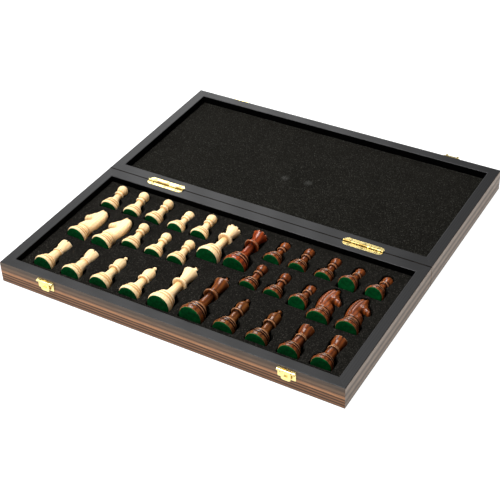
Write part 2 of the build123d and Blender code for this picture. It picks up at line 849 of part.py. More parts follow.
def make_pocket(seat):
    """Room for one chessman, open straight up: its plan from the plane it lies on, and its foot further down."""
    plan, lying_radius, end_round = seat_plan(seat.kind)
    lean = sin(abs(seat.tilt))
    start = -seat_gap - seat.foot_radius * lean
    end = plan[-1][1] + seat_gap + plan[-1][0] * lean
    bed_centre = seat.plane.origin - seat.upward * (lying_radius + seat_gap)
    bed = Plane(bed_centre, x_dir=seat.plane.x_dir, z_dir=seat.plane.z_dir)
    floor_centre = (seat.centre[0], seat.centre[1], seat.lowest - seat_gap)
    with BuildPart() as pocket:
        with BuildSketch(bed):
            if seat.kind == "knight":
                with BuildLine():
                    draw_knight_head()
                make_face()
                offset(amount=seat_gap + knight_head_thickness * lean)
            draw_plan(plan, start, end, end_round)
        extrude(amount=half_height, dir=(0, 0, 1))
        with BuildSketch(Plane(floor_centre, x_dir=seat.across, z_dir=(0, 0, 1))):
            draw_plan(plan[:2], start, plan[1][1], 0)
        extrude(amount=half_height)
    return pocket.part


def lining_outline(side):
    corners = frame_corners(side, rail_thickness + lining_gap, hinge_rail_thickness + lining_gap)
    Polygon(*corners, align=None)


def make_fitted_lining(seats):
    """The tray's lining, with a seat for each chessman."""
    pockets = [make_pocket(seat) for seat in seats]
    with BuildPart() as lining:
        with BuildSketch(Plane.XY.offset(panel_thickness)):
            lining_outline(TRAY)
        extrude(amount=lining_top - panel_thickness)
        add(pockets, mode=Mode.SUBTRACT)
    return lining


def make_lid_pad():
    with BuildPart() as pad:
        with BuildSketch(Plane.XY.offset(panel_thickness)):
            lining_outline(LID)
        extrude(amount=half_height - pad_recess - panel_thickness)
        fillet(pad.edges().group_by(Axis.Z)[-1], radius=pad_round)
    return pad


# ---------------------------------------------------------------- making and writing the pieces
for half, side, long_rail in (("tray", TRAY, "front"), ("lid", LID, "far")):
    for place, rail_name in enumerate(["left", long_rail, "right", "hinge"]):
        rail = make_rail(side, place)
        if rail_name == "hinge":
            rail = cut_hinge_seats(rail, side)
        write(rail.part, f"{half}_{rail_name}_rail")
    write(make_panel(side).part, f"{half}_panel")
    write(make_squares(side, True).part, f"{half}_dark_squares")
    write(make_squares(side, False).part, f"{half}_light_squares")
    for hinge_name, centre in zip(("left", "right"), hinge_centres()):
        write(make_leaf(centre, side).part, f"{half}_{hinge_name}_leaf")

write(make_hinge_pins().part, "hinge_pins")
write(make_latch_plates().part, "latch_plates")
write(make_latch_axles().part, "latch_axles")
write(make_catches().part, "lid_catches")
for latch_name, centre in zip(("left", "right"), latch_centres()):
    write(make_tongue(centre).part, f"{latch_name}_tongue")

light_pawn_lies = zip(light_pawn_tilts, light_pawn_swings, light_pawn_lifts)
dark_pawn_lies = zip(dark_pawn_tilts, dark_pawn_swings, dark_pawn_lifts)
light_knight_lie = (light_knight_tilt, light_knight_swing)
dark_knight_lie = (dark_knight_tilt, dark_knight_swing)
all_seats = seats_of("light", -1, light_queen_tilt, light_knight_lie, light_pawn_lies)
all_seats += seats_of("dark", 1, dark_queen_tilt, dark_knight_lie, dark_pawn_lies)
write(make_fitted_lining(all_seats).part, "tray_lining")
write(make_lid_pad().part, "lid_pad")
for seat in all_seats:
    write(Compound(children=MAKERS[seat.kind](seat.plane)), seat.name)
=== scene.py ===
# %% [markdown]
# # A folding chess case
# The case lies open like a book. The near half is the tray: a black foam lining cut out for thirty-two
# chessmen. The far half is the lid, with a plain foam pad. This notebook dresses a measured model, so every
# piece is placed by its measured size, in metres, with the origin on the table under the hinge line.

# %% Load the measured model
import math
import random

import bmesh
import bpy
from mathutils import Matrix, Vector, noise
from mathutils.geometry import delaunay_2d_cdt


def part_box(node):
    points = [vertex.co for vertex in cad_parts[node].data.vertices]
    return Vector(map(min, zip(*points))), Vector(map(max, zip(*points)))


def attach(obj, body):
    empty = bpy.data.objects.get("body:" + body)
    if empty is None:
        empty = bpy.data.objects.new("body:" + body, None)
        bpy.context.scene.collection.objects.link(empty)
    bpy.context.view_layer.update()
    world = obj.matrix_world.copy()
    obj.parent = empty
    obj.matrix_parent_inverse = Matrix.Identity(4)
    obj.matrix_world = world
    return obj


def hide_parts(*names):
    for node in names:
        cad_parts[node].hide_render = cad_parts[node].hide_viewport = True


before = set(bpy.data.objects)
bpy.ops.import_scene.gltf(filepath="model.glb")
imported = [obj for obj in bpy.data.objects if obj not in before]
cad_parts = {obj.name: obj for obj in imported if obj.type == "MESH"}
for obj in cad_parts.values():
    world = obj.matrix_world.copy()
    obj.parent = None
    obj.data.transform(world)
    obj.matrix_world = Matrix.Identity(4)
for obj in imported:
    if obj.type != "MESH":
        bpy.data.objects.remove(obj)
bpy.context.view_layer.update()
mm = 0.001

# %% [markdown]
# ## Camera
# A long lens from the front right, well above the case, keeps the edges nearly parallel. The camera's three
# axes are worked out from two angles and a slight roll, which is steadier than aiming it by eye.

# %% Camera
camera_azimuth = math.radians(30.968)
camera_elevation = math.radians(37.550)
camera_roll = math.radians(-1.990)
camera_place = (0.52602, -0.90226, 0.77914)
lens_length, film_width = 85.23, 36

camera = bpy.data.objects.new("camera", bpy.data.cameras.new("camera"))
bpy.context.scene.collection.objects.link(camera)
camera.data.sensor_width = film_width
camera.data.lens = lens_length
camera_back = Vector((math.sin(camera_azimuth) * math.cos(camera_elevation),
                      -math.cos(camera_azimuth) * math.cos(camera_elevation), math.sin(camera_elevation)))
level_right = Vector((math.cos(camera_azimuth), math.sin(camera_azimuth), 0))
level_up = camera_back.cross(level_right)
camera_right = level_right * math.cos(camera_roll) + level_up * math.sin(camera_roll)
camera_up = level_up * math.cos(camera_roll) - level_right * math.sin(camera_roll)
camera.matrix_world = (Matrix.Translation(camera_place)
                       @ Matrix((camera_right, camera_up, camera_back)).transposed().to_4x4())
bpy.context.scene.camera = camera
print("camera at", [round(v, 3) for v in camera.matrix_world.translation])

# %% [markdown]
# ## Light and floor
# A dim white room gives black stain its soft grey sheen. One wide lamp overhead puts the gloss on lacquer and
# brass, a weaker one behind and to the left rakes over the men, and the weakest fills the near face. The
# floor glows white, as a light table does, but reflects little, so that the case stands clear with hardly a
# shadow and no haze lies on its sides.

# %% Light and room
room_brightness = 0.20

room = bpy.data.worlds.new("room")
room.use_nodes = True
room.node_tree.nodes["Background"].inputs["Color"].default_value = (1.0, 0.99, 0.98, 1)
room.node_tree.nodes["Background"].inputs["Strength"].default_value = room_brightness
bpy.context.scene.world = room
bpy.context.scene.view_settings.view_transform = "Standard"


def add_lamp(name, place, target, width, depth, watts):
    """A rectangular soft lamp that faces a target point."""
    lamp = bpy.data.objects.new(name, bpy.data.lights.new(name, "AREA"))
    lamp.data.shape = "RECTANGLE"
    lamp.data.size, lamp.data.size_y = width, depth
    lamp.data.energy = watts
    bpy.context.scene.collection.objects.link(lamp)
    away = (Vector(place) - Vector(target)).to_track_quat("Z", "Y").to_matrix().to_4x4()
    lamp.matrix_world = Matrix.Translation(place) @ away
    return lamp


add_lamp("overhead_lamp", (-0.45, -0.1, 1.4), (0, 0, 0), 1.0, 0.8, 38)
add_lamp("back_lamp", (-1.35, 2.0, 1.2), (-0.2, 0.3, 0), 1.0, 0.8, 15)
add_lamp("front_lamp", (-0.9, -1.3, 0.9), (0, -0.1, 0), 0.8, 0.8, 6)


# %% [markdown]
# ## Helpers for materials
# Node trees are long to write out by hand. One helper places a node, sets its options and feeds each input
# from a number, a colour or another node's output. Another starts a shared group with named sockets.

# %% Helpers for materials


def add_node(tree, kind, inputs=None, **settings):
    """Places a node; each input takes a plain value or another node's output."""
    node = tree.nodes.new(kind)
    for key, value in settings.items():
        setattr(node, key, value)
    for key, value in (inputs or {}).items():
        if isinstance(value, bpy.types.NodeSocket):
            tree.links.new(value, node.inputs[key])
        else:
            node.inputs[key].default_value = value
    return node


def calculate(tree, operation, a, b=0.0, clamp=False):
    """One arithmetic step; returns its output."""
    return add_node(tree, "ShaderNodeMath", {0: a, 1: b}, operation=operation, use_clamp=clamp).outputs[0]


def vector_step(tree, operation, a, b, output="Vector"):
    """One step with two vectors; returns its output."""
    return add_node(tree, "ShaderNodeVectorMath", {0: a, 1: b}, operation=operation).outputs[output]


def scale_colour(tree, colour, factor):
    """Makes a colour, or a vector, so many times as strong."""
    return add_node(tree, "ShaderNodeVectorMath", {0: colour, "Scale": factor}, operation="SCALE").outputs["Vector"]


def speckle(tree, place, scale, detail=2.0):
    """A soft noise over a place; returns its value."""
    return add_node(tree, "ShaderNodeTexNoise", {"Vector": place, "Scale": scale, "Detail": detail}).outputs["Fac"]


def split(tree, vector):
    """The three parts of a vector, by their letters."""
    return add_node(tree, "ShaderNodeSeparateXYZ", {0: vector}).outputs


def own_place(tree):
    """Where a point lies on its own piece, so that a finish stays put when the piece moves."""
    return tree.nodes.new("ShaderNodeTexCoord").outputs["Object"]


def remap(tree, value, low, high, to_low=0.0, to_high=1.0):
    """Stretches a range of values onto another, held at its ends."""
    inputs = {"Value": value, "From Min": low, "From Max": high, "To Min": to_low, "To Max": to_high}
    return add_node(tree, "ShaderNodeMapRange", inputs).outputs["Result"]


def mix_colours(tree, factor, a, b, blend="MIX"):
    """Mixes two colours; returns the colour output."""
    node = add_node(tree, "ShaderNodeMix", {0: factor, 6: a, 7: b}, data_type="RGBA", blend_type=blend)
    return node.outputs[2]


def start_group(name, inputs, outputs):
    """A new shader group with its sockets; returns the tree, its inputs by name and its output node."""
    tree = bpy.data.node_groups.new(name, "ShaderNodeTree")
    kinds = {"vector": "NodeSocketVector", "colour": "NodeSocketColor", "number": "NodeSocketFloat"}
    for label, kind, value in inputs:
        tree.interface.new_socket(label, in_out="INPUT", socket_type=kinds[kind]).default_value = value
    for label, kind in outputs:
        tree.interface.new_socket(label, in_out="OUTPUT", socket_type=kinds[kind])
    entry = tree.nodes.new("NodeGroupInput")
    return tree, entry.outputs, tree.nodes.new("NodeGroupOutput")


def place_group(tree, group, **inputs):
    """Places a shared group in a material; input names are written with underscores for spaces."""
    node = tree.nodes.new("ShaderNodeGroup")
    node.node_tree = group
    for key, value in inputs.items():
        socket = node.inputs[key.replace("_", " ")]
        if isinstance(value, bpy.types.NodeSocket):
            tree.links.new(value, socket)
        else:
            socket.default_value = value
    return node.outputs


def start_material(name, **constants):
    """A new material; constants go on the shader's own sockets, with underscores for spaces."""
    material = bpy.data.materials.new(name)
    material.use_nodes = True
    shader = material.node_tree.nodes["Principled BSDF"]
    for key, value in constants.items():
        shader.inputs[key.replace("_", " ")].default_value = value
    return material, material.node_tree, shader


def feed(tree, shader, colour=None, roughness=None, height=None, depth=0.0001, strength=1.0):
    """Joins colour, roughness and bump height to a shader."""
    if colour is not None:
        tree.links.new(colour, shader.inputs["Base Color"])
    if roughness is not None:
        tree.links.new(roughness, shader.inputs["Roughness"])
    if height is not None:
        bump = add_node(tree, "ShaderNodeBump", {"Strength": strength, "Distance": depth, "Height": height})
        tree.links.new(bump.outputs["Normal"], shader.inputs["Normal"])


# %% [markdown]
# ## Wood figure
# Sawn wood shows three things at once: broad bands where it cuts the growth rings, fine dark fibres and
# pores drawn out along the grain, and slow drifts of colour. All three come from textures squeezed along one
# axis. Every wood here shares this group with its own colours and scales.

# %% Wood figure group


def make_wood_figure():
    tree, given, result = start_group(
        "wood_figure",
        [("Vector", "vector", (0, 0, 0)), ("Stretch", "vector", (1, 1, 0.06)), ("Light", "colour", (0.8, 0.6, 0.4, 1)),
         ("Dark", "colour", (0.5, 0.3, 0.15, 1)), ("Pore", "colour", (0.2, 0.1, 0.05, 1)),
         ("Band scale", "number", 160.0), ("Fibre scale", "number", 1400.0), ("Pore amount", "number", 0.4)],
        [("Colour", "colour"), ("Height", "number"), ("Bands", "number")])
    drawn = vector_step(tree, "MULTIPLY", given["Vector"], given["Stretch"])
    drift = speckle(tree, drawn, 55.0, 3.0)
    bands = add_node(tree, "ShaderNodeTexWave",
                     {"Vector": drawn, "Scale": given["Band scale"], "Distortion": 5.0, "Detail": 3.0,
                      "Detail Scale": 0.35, "Detail Roughness": 0.6})
    fibre = speckle(tree, drawn, given["Fibre scale"])
    band = remap(tree, bands.outputs["Fac"], 0.1, 0.95)
    blend = calculate(tree, "MULTIPLY", band, 0.62)
    blend = calculate(tree, "ADD", blend, calculate(tree, "MULTIPLY", drift, 0.55))
    blend = calculate(tree, "SUBTRACT", blend, 0.12, clamp=True)
    colour = mix_colours(tree, blend, given["Light"], given["Dark"])
    pores = remap(tree, fibre, 0.60, 0.74)
    pores = calculate(tree, "MULTIPLY", pores, given["Pore amount"])
    colour = mix_colours(tree, pores, colour, given["Pore"])
    height = calculate(tree, "SUBTRACT", calculate(tree, "MULTIPLY", fibre, 0.5), pores)
    tree.links.new(colour, result.inputs["Colour"])
    tree.links.new(height, result.inputs["Height"])
    tree.links.new(band, result.inputs["Bands"])
    return tree


wood_figure = make_wood_figure()
print("group", wood_figure.name)

# %% [markdown]
# ## Worn edges
# Corners rub pale first. A rounded copy of the surface direction differs from the real one only near an
# edge, so the difference between the two is a mask of edges, and a noise breaks it up.

# %% Worn edges group


def make_worn_edges():
    tree, given, result = start_group(
        "worn_edges", [("Vector", "vector", (0, 0, 0)), ("Radius", "number", 0.0005), ("Patch scale", "number", 300.0)],
        [("Wear", "number")])
    rounded = add_node(tree, "ShaderNodeBevel", {"Radius": given["Radius"]}, samples=4)
    flat = tree.nodes.new("ShaderNodeNewGeometry")
    same = vector_step(tree, "DOT_PRODUCT", rounded.outputs["Normal"], flat.outputs["Normal"], "Value")
    edge = remap(tree, same, 0.995, 0.86)
    patches = speckle(tree, given["Vector"], given["Patch scale"])
    wear = calculate(tree, "MULTIPLY", edge, remap(tree, patches, 0.35, 0.65))
    tree.links.new(wear, result.inputs["Wear"])
    return tree


worn_edges = make_worn_edges()
print("group", worn_edges.name)

# %% [markdown]
# ## Case faces
# One rail carries three finishes: black stain on the rim and inside, a striped veneer on the outer face, and
# the board's border below. This group tells the faces apart by where they are and which way they face, in
# the rail's own coordinates, so that the finishes stay put when the lid turns over. It also finds the inner walls
# and the seam at the hinge line, which the rails paint near-black as shade and leave without the coat's sheen.

# %% Case faces group
case_half_width = 200 * mm
case_half_depth = 200 * mm
case_half_height = 25 * mm
seam_reach = 0.8 * mm


def make_case_faces():
    tree, given, result = start_group(
        "case_faces", [("Place", "vector", (0, 0, 0)), ("Facing", "vector", (0, 0, 1))],
        [("Outer", "number"), ("Under", "number"), ("Hidden", "number")])
    place = split(tree, given["Place"])
    facing = split(tree, given["Facing"])
    across, along, out_x, out_y, out_z = (
        calculate(tree, "ABSOLUTE", value)
        for value in (place["X"], place["Y"], facing["X"], facing["Y"], facing["Z"]))
    side = calculate(tree, "MULTIPLY", calculate(tree, "GREATER_THAN", out_x, 0.75),
                     calculate(tree, "GREATER_THAN", across, case_half_width - seam_reach))
    end = calculate(tree, "ADD", calculate(tree, "GREATER_THAN", along, case_half_depth - seam_reach),
                    calculate(tree, "LESS_THAN", along, seam_reach))
    end = calculate(tree, "MULTIPLY", end, calculate(tree, "GREATER_THAN", out_y, 0.75))
    outer = calculate(tree, "MAXIMUM", side, end)
    under = calculate(tree, "LESS_THAN", facing["Z"], -0.7)
    # Inner walls and the seam at the hinge line: where the rails paint near-black shade.
    inner = calculate(tree, "MULTIPLY", calculate(tree, "LESS_THAN", out_z, 0.3),
                      calculate(tree, "SUBTRACT", 1.0, outer))
    shaded_faces = calculate(tree, "MAXIMUM", inner, calculate(tree, "LESS_THAN", along, seam_reach))
    tree.links.new(outer, result.inputs["Outer"])
    tree.links.new(under, result.inputs["Under"])
    tree.links.new(shaded_faces, result.inputs["Hidden"])
    return tree


case_faces = make_case_faces()
print("group", case_faces.name)

# %% [markdown]
# ## Rails
# The rim is stained black and rubbed to a satin sheen; a little grain and paler edges show through. The
# striped veneer is cut so that the growth rings lie as level lines along the long faces: grey-brown at the
# top, one tan line below the middle, then dark and pink-brown lines by turns. A colour ramp over the height
# draws the lines, and a slow noise bends them.

# %% Rail materials
along_x, along_y = (0.05, 1, 1), (1, 0.05, 1)
hairline_scale = 1500.0
stain_tones = {"Light": (0.012, 0.012, 0.0130, 1), "Dark": (0.006, 0.006, 0.0065, 1), "Pore": (0.004, 0.004, 0.004, 1)}
border_tones = {"Light": (0.20, 0.13, 0.095, 1), "Dark": (0.10, 0.062, 0.045, 1), "Pore": (0.05, 0.03, 0.02, 1)}
worn_stain, painted_shade_black = (0.075, 0.072, 0.07, 1), (0.001, 0.001, 0.001, 1)
front_stripes = [
    (0.00, (0.010, 0.004, 0.002)), (0.07, (0.300, 0.138, 0.062)), (0.14, (0.008, 0.003, 0.001)),
    (0.21, (0.320, 0.142, 0.060)), (0.28, (0.009, 0.003, 0.001)), (0.34, (0.340, 0.150, 0.062)),
    (0.41, (0.010, 0.004, 0.002)), (0.48, (0.500, 0.230, 0.098)), (0.54, (0.400, 0.195, 0.095)),
    (0.62, (0.110, 0.062, 0.036)), (0.72, (0.195, 0.118, 0.072)), (0.84, (0.090, 0.058, 0.038)),
    (1.00, (0.110, 0.083, 0.064)),
]
side_stripes = [
    (0.00, (0.070, 0.048, 0.034)), (0.14, (0.300, 0.216, 0.156)), (0.30, (0.090, 0.063, 0.045)),
    (0.48, (0.330, 0.242, 0.179)), (0.66, (0.100, 0.073, 0.053)), (0.84, (0.350, 0.268, 0.206)),
    (1.00, (0.290, 0.230, 0.182)),
]


def set_ramp(ramp, stops):
    """Writes colours onto a ramp."""
    while len(ramp.elements) < len(stops):
        ramp.elements.new(1.0)
    for element, (position, colour) in zip(ramp.elements, stops):
        element.position = position
        element.color = (*colour, 1)


def make_rail_material(name, stripes, stretch):
    """Black stain, striped veneer and border veneer on one rail."""
    material, tree, shader = start_material(name, Specular_IOR_Level=0.03, Coat_Roughness=0.44)
    coordinates = tree.nodes.new("ShaderNodeTexCoord").outputs
    place = coordinates["Object"]
    faces = place_group(tree, case_faces, Place=place, Facing=coordinates["Normal"])
    grain = place_group(tree, wood_figure, Vector=place, Stretch=stretch, **stain_tones, Band_scale=120.0,
                        Fibre_scale=900.0, Pore_amount=0.5)
    wear = place_group(tree, worn_edges, Vector=place, Radius=0.0005, Patch_scale=260.0)
    stain = mix_colours(tree, calculate(tree, "MULTIPLY", wear["Wear"], 0.35), grain["Colour"], worn_stain)
    height = split(tree, place)["Z"]
    drawn = vector_step(tree, "MULTIPLY", place, stretch)
    bend = speckle(tree, drawn, 90.0)
    level = remap(tree, calculate(tree, "ADD", height, remap(tree, bend, 0, 1, -0.0006, 0.0006)), 0, case_half_height)
    ramp = add_node(tree, "ShaderNodeValToRGB", {"Fac": level})
    set_ramp(ramp.color_ramp, stripes)
    fibres = speckle(tree, drawn, hairline_scale, 3.0)
    fibre_shade = remap(tree, fibres, 0.35, 0.7, 0.72, 1.18)
    veneer = scale_colour(tree, ramp.outputs["Color"], fibre_shade)
    border = place_group(tree, wood_figure, Vector=place, Stretch=stretch, **border_tones, Band_scale=150.0,
                         Fibre_scale=1100.0, Pore_amount=0.5)
    # Painted shade: the inner walls and the seam at the hinge line go near-black.
    stain = mix_colours(tree, faces["Hidden"], stain, painted_shade_black)
    colour = mix_colours(tree, faces["Outer"], stain, veneer)
    colour = mix_colours(tree, faces["Under"], colour, border["Colour"])
    roughness = remap(tree, grain["Bands"], 0, 1, 0.42, 0.50)
    shine = remap(tree, faces["Hidden"], 0, 1, 0.5, 0.0)
    tree.links.new(shine, shader.inputs["Coat Weight"])
    feed(tree, shader, colour, roughness, grain["Height"], 0.00004, 0.35)
    return material


long_rail_finish = make_rail_material("stained_rail_long", front_stripes, along_x)
short_rail_finish = make_rail_material("stained_rail_short", side_stripes, along_y)

# %% [markdown]
# ## Board veneers
# The outer faces carry the playing board: pale and dark squares of veneer in a brown border. The grain of
# every square runs the same way, and each square is cut from another place in the leaf, so its figure is
# shifted by a step for every row and column.

# %% Board materials
board_square = 45 * mm
figure_shift = (3.7, 5.3, 0)


def make_veneer(name, tones, by_square=True):
    """A satin veneer whose figure starts afresh in each square."""
    material, tree, shader = start_material(name, Coat_Weight=0.25, Coat_Roughness=0.25)
    place = own_place(tree)
    if by_square:
        step = vector_step(tree, "SNAP", place, (board_square,) * 3)
        shift = vector_step(tree, "MULTIPLY", step, figure_shift)
        place = vector_step(tree, "ADD", place, shift)
    figure = place_group(tree, wood_figure, Vector=place, Stretch=along_x, **tones, Band_scale=90.0,
                         Fibre_scale=1000.0, Pore_amount=0.45)
    roughness = remap(tree, figure["Bands"], 0, 1, 0.38, 0.46)
    feed(tree, shader, figure["Colour"], roughness, figure["Height"], 0.00003, 0.3)
    return material


dark_tones = {"Light": (0.17, 0.085, 0.05, 1), "Dark": (0.075, 0.036, 0.022, 1), "Pore": (0.03, 0.014, 0.01, 1)}
light_tones = {"Light": (0.62, 0.44, 0.26, 1), "Dark": (0.48, 0.31, 0.17, 1), "Pore": (0.30, 0.18, 0.09, 1)}
dark_square_finish = make_veneer("dark_veneer", dark_tones)
light_square_finish = make_veneer("light_veneer", light_tones)
border_finish = make_veneer("border_veneer", border_tones, by_square=False)
print("veneers", dark_square_finish.name, light_square_finish.name, border_finish.name)

# %% [markdown]
# ## Brass
# The fittings are thin pressed brass, bright and pale. Fine rubbing marks run along them, edges are worn
# paler and slow patches are a little darker and warmer. Screw heads get painted shade round the rim and in the
# slot, and a dark, broken line of painted shade lies beside the hinge barrels for the barrel's shadow and seam.

# %% Brass material
seam_shade_place = 1.0 * mm
seam_shade_width = 1.6 * mm
brass_warm, brass_bright, brass_worn = (0.90, 0.72, 0.26, 1), (0.96, 0.81, 0.38, 1), (1.0, 0.90, 0.56, 1)
screw_shade_tone, barrel_shade_tone = (0.10, 0.065, 0.015, 1), (0.16, 0.10, 0.02, 1)


def make_brass(name, screw=False):
    """Rubbed brass; painted shade darkens a screw's rim and slot, and lies in a broken line beside the hinge barrels.
    """
    material, tree, shader = start_material(name, Metallic=1.0, Coat_Weight=0.15, Coat_Roughness=0.15)
    place = own_place(tree)
    rubbed = vector_step(tree, "MULTIPLY", place, (0.08, 1, 1))
    marks = speckle(tree, rubbed, 2600.0)
    cloud = speckle(tree, place, 420.0, 3.0)
    wear = place_group(tree, worn_edges, Vector=place, Radius=0.0003, Patch_scale=500.0)
    colour = mix_colours(tree, remap(tree, cloud, 0.3, 0.7), brass_warm, brass_bright)
    colour = mix_colours(tree, wear["Wear"], colour, brass_worn)
    parts = split(tree, place)
    if screw:
        # Painted shade round the countersunk rim and in the slot; the whole head is a little darker too.
        flat = vector_step(tree, "MULTIPLY", place, (1, 1, 0))
        reach = add_node(tree, "ShaderNodeVectorMath", {0: flat}, operation="LENGTH").outputs["Value"]
        rim = remap(tree, reach, 1.0 * mm, 1.6 * mm, 0.25, 0.9)
        slot = remap(tree, calculate(tree, "ABSOLUTE", parts["Y"]), 0.32 * mm, 0.24 * mm)
        colour = mix_colours(tree, calculate(tree, "MAXIMUM", rim, slot), colour, screw_shade_tone)
    else:
        # Painted shade: a dark, broken line beside the hinge barrels, for the barrel's shadow and its seam.
        near_seam = calculate(tree, "ABSOLUTE", calculate(tree, "ADD", parts["Y"], seam_shade_place))
        patchy = speckle(tree, vector_step(tree, "MULTIPLY", place, (1, 0.02, 0.02)), 110.0)
        shade = calculate(tree, "MULTIPLY", remap(tree, near_seam, seam_shade_width, 0.3 * seam_shade_width),
                          remap(tree, patchy, 0.40, 0.52, 0.45, 1.0))
        colour = mix_colours(tree, shade, colour, barrel_shade_tone)
    roughness = remap(tree, cloud, 0.3, 0.7, 0.24, 0.32)
    feed(tree, shader, colour, roughness, marks, 0.000006, 0.2)
    return material


brass, screw_brass = make_brass("brass"), make_brass("screw_brass", screw=True)

# %% [markdown]
# ## Dress the measured case
# The rails, panels, squares and fittings already have the right shape, so they keep their meshes and only
# get a finish. The rails along the hinge line and the long faces run one way, the two short rails the other.

# %% Finish the measured pieces
finish_of_ending = {
    "left_rail": short_rail_finish, "right_rail": short_rail_finish, "front_rail": long_rail_finish,
    "far_rail": long_rail_finish, "hinge_rail": long_rail_finish, "dark_squares": dark_square_finish,
    "light_squares": light_square_finish, "panel": border_finish, "leaf": brass, "hinge_pins": brass,
    "latch_plates": brass, "latch_axles": brass, "lid_catches": brass, "tongue": brass,
}
dressed = 0
for node_name, node_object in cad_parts.items():
    for ending, finish in finish_of_ending.items():
        if node_name.endswith(ending):
            node_object.data.materials.clear()
            node_object.data.materials.append(finish)
            dressed += 1
            break
print("measured pieces dressed:", dressed)

# %% [markdown]
# ## Wood and felt of the chessmen
# The pale men are boxwood: cream and nearly without figure. The dark
# men are a red-brown rosewood under a hard gloss lacquer, with near-black streaks that run from foot to head.
# Each man is turned from its own blank, so the figure is shifted by a random step for every one.

# %% Chessman materials


def make_turned_wood(name, light, dark, pore, crest, groove, bands, pores, rough_low, rough_high, **shine):
    """Wood whose grain runs along the piece's own axis."""
    material, tree, shader = start_material(name, **shine)
    place = own_place(tree)
    chance = tree.nodes.new("ShaderNodeObjectInfo").outputs["Random"]
    place = vector_step(tree, "ADD", place, scale_colour(tree, (0.7, 1.3, 0.9), chance))
    figure = place_group(tree, wood_figure, Vector=place, Stretch=(1, 0.12, 1), Light=light, Dark=dark, Pore=pore,
                         Band_scale=bands, Fibre_scale=1600.0, Pore_amount=pores)
    tint = scale_colour(tree, figure["Colour"], remap(tree, chance, 0, 1, 0.88, 1.1))
    relief = add_node(tree, "ShaderNodeAttribute", attribute_name="relief").outputs["Fac"]
    redness = add_node(tree, "ShaderNodeAttribute", attribute_name="redness").outputs["Fac"]
    tint = mix_colours(tree, redness, tint, (1.35, 0.68, 0.62, 1), "MULTIPLY")
    # Painted highlight on crests and painted shade in grooves, both from the relief attribute.
    tint = mix_colours(tree, remap(tree, relief, 0.25, 0.8, 0.0, 0.85), tint, crest)
    tint = mix_colours(tree, remap(tree, relief, -0.06, -0.40, 0.0, 0.9), tint, groove)
    roughness = remap(tree, figure["Bands"], 0, 1, rough_low, rough_high)
    feed(tree, shader, tint, roughness, figure["Height"], 0.00004, 0.35)
    return material


# The crest and groove colours are a painted highlight and a painted shade.
boxwood = make_turned_wood("boxwood", (0.94, 0.705, 0.405, 1), (0.87, 0.575, 0.285, 1), (0.68, 0.42, 0.20, 1),
                           (0.96, 0.81, 0.55, 1), (0.68, 0.39, 0.15, 1), 110.0, 0.25, 0.42, 0.50,
                           Specular_IOR_Level=0.2)
rosewood = make_turned_wood("rosewood", (0.215, 0.066, 0.012, 1), (0.048, 0.012, 0.003, 1), (0.02, 0.005, 0.002, 1),
                            (0.48, 0.24, 0.12, 1), (0.016, 0.004, 0.002, 1), 75.0, 0.35, 0.26, 0.34,
                            Specular_IOR_Level=0.1, Coat_Weight=0.38, Coat_Roughness=0.15)


def make_felt():
    """Deep green felt: short fibres that lie every way, a little paler where they stand up."""
    material, tree, shader = start_material("green_felt", Specular_IOR_Level=0.05)
    place = own_place(tree)
    fibres = speckle(tree, place, 2600.0, 4.0)
    cloud = speckle(tree, place, 260.0)
    blend = calculate(tree, "MULTIPLY", fibres, cloud)
    colour = mix_colours(tree, remap(tree, blend, 0.12, 0.42), (0.0, 0.032, 0.007, 1), (0.001, 0.095, 0.020, 1))
    feed(tree, shader, colour, remap(tree, cloud, 0, 1, 0.85, 1.0), fibres, 0.0002, 0.7)
    return material


felt = make_felt()

# %% [markdown]
# ## Turning the men
# A lathe makes rings, so a turned man is one outline spun round an axis. The outline is a short list of
# radius and height; a third number bows the stretch before it, outwards for a bead and inwards for a hollow.
# Every sharp corner is then eased by a fraction of a millimetre, which is what catches the light.

# %% Lathe helpers
felt_thickness = 1.0
felt_inset = 1.0
step_share = 0.12
groove_width = 1.1
groove_depth = 0.8
foot_beads = ((0.42, 1.0), (0.26, 0.7), (0.32, 0.8))
bow = 0.5
turns = 64


def bowed_stretch(start, end, sagitta, count):
    """Points along an arc between two points of an outline, without the first."""
    chord = Vector(end) - Vector(start)
    outward = Vector((chord.y, -chord.x)).normalized() * math.copysign(1, sagitta)
    depth = abs(sagitta)
    radius = (chord.length ** 2 / 4 + depth ** 2) / (2 * depth)
    half = math.asin(min(1.0, chord.length / 2 / radius))
    if depth > chord.length / 2:
        half = math.pi - half
    centre = (Vector(start) + Vector(end)) / 2 + outward * (depth - radius)
    forward = chord.normalized()
    angles = [-half + 2 * half * index / count for index in range(1, count + 1)]
    return [tuple(centre + (forward * math.sin(a) + outward * math.cos(a)) * radius) for a in angles]


def draw_outline(points, count=8):
    """The whole outline as plain (radius, height) points."""
    line = [points[0][:2]]
    for start, end in zip(points, points[1:]):
        if len(end) == 3 and abs(end[2]) > 0.01:
            line += bowed_stretch(start[:2], end[:2], end[2], count)
        else:
            line.append(end[:2])
    return line


def ease_corners(line, reach=0.16, close=0.7):
    """Cuts every sharp corner with two points, and sets one more close to the ends of each long stretch."""
    eased = [line[0]]
    for before, corner, after in zip(line, line[1:], line[2:]):
        into, out = Vector(corner) - Vector(before), Vector(after) - Vector(corner)
        if into.length < 1e-6 or out.length < 1e-6 or into.angle(out) < 0.45:
            eased.append(corner)
            continue
        near, far = min(reach, into.length * 0.4), min(reach, out.length * 0.4)
        eased += [tuple(Vector(corner) - into.normalized() * near), tuple(Vector(corner) + out.normalized() * far)]
    eased.append(line[-1])
    spaced = [eased[0]]
    for start, end in zip(eased, eased[1:]):
        along = Vector(end) - Vector(start)
        if along.length > 3 * close:
            inset = along.normalized() * close
            spaced += [tuple(Vector(start) + inset), tuple(Vector(end) - inset)]
        spaced.append(end)
    return spaced


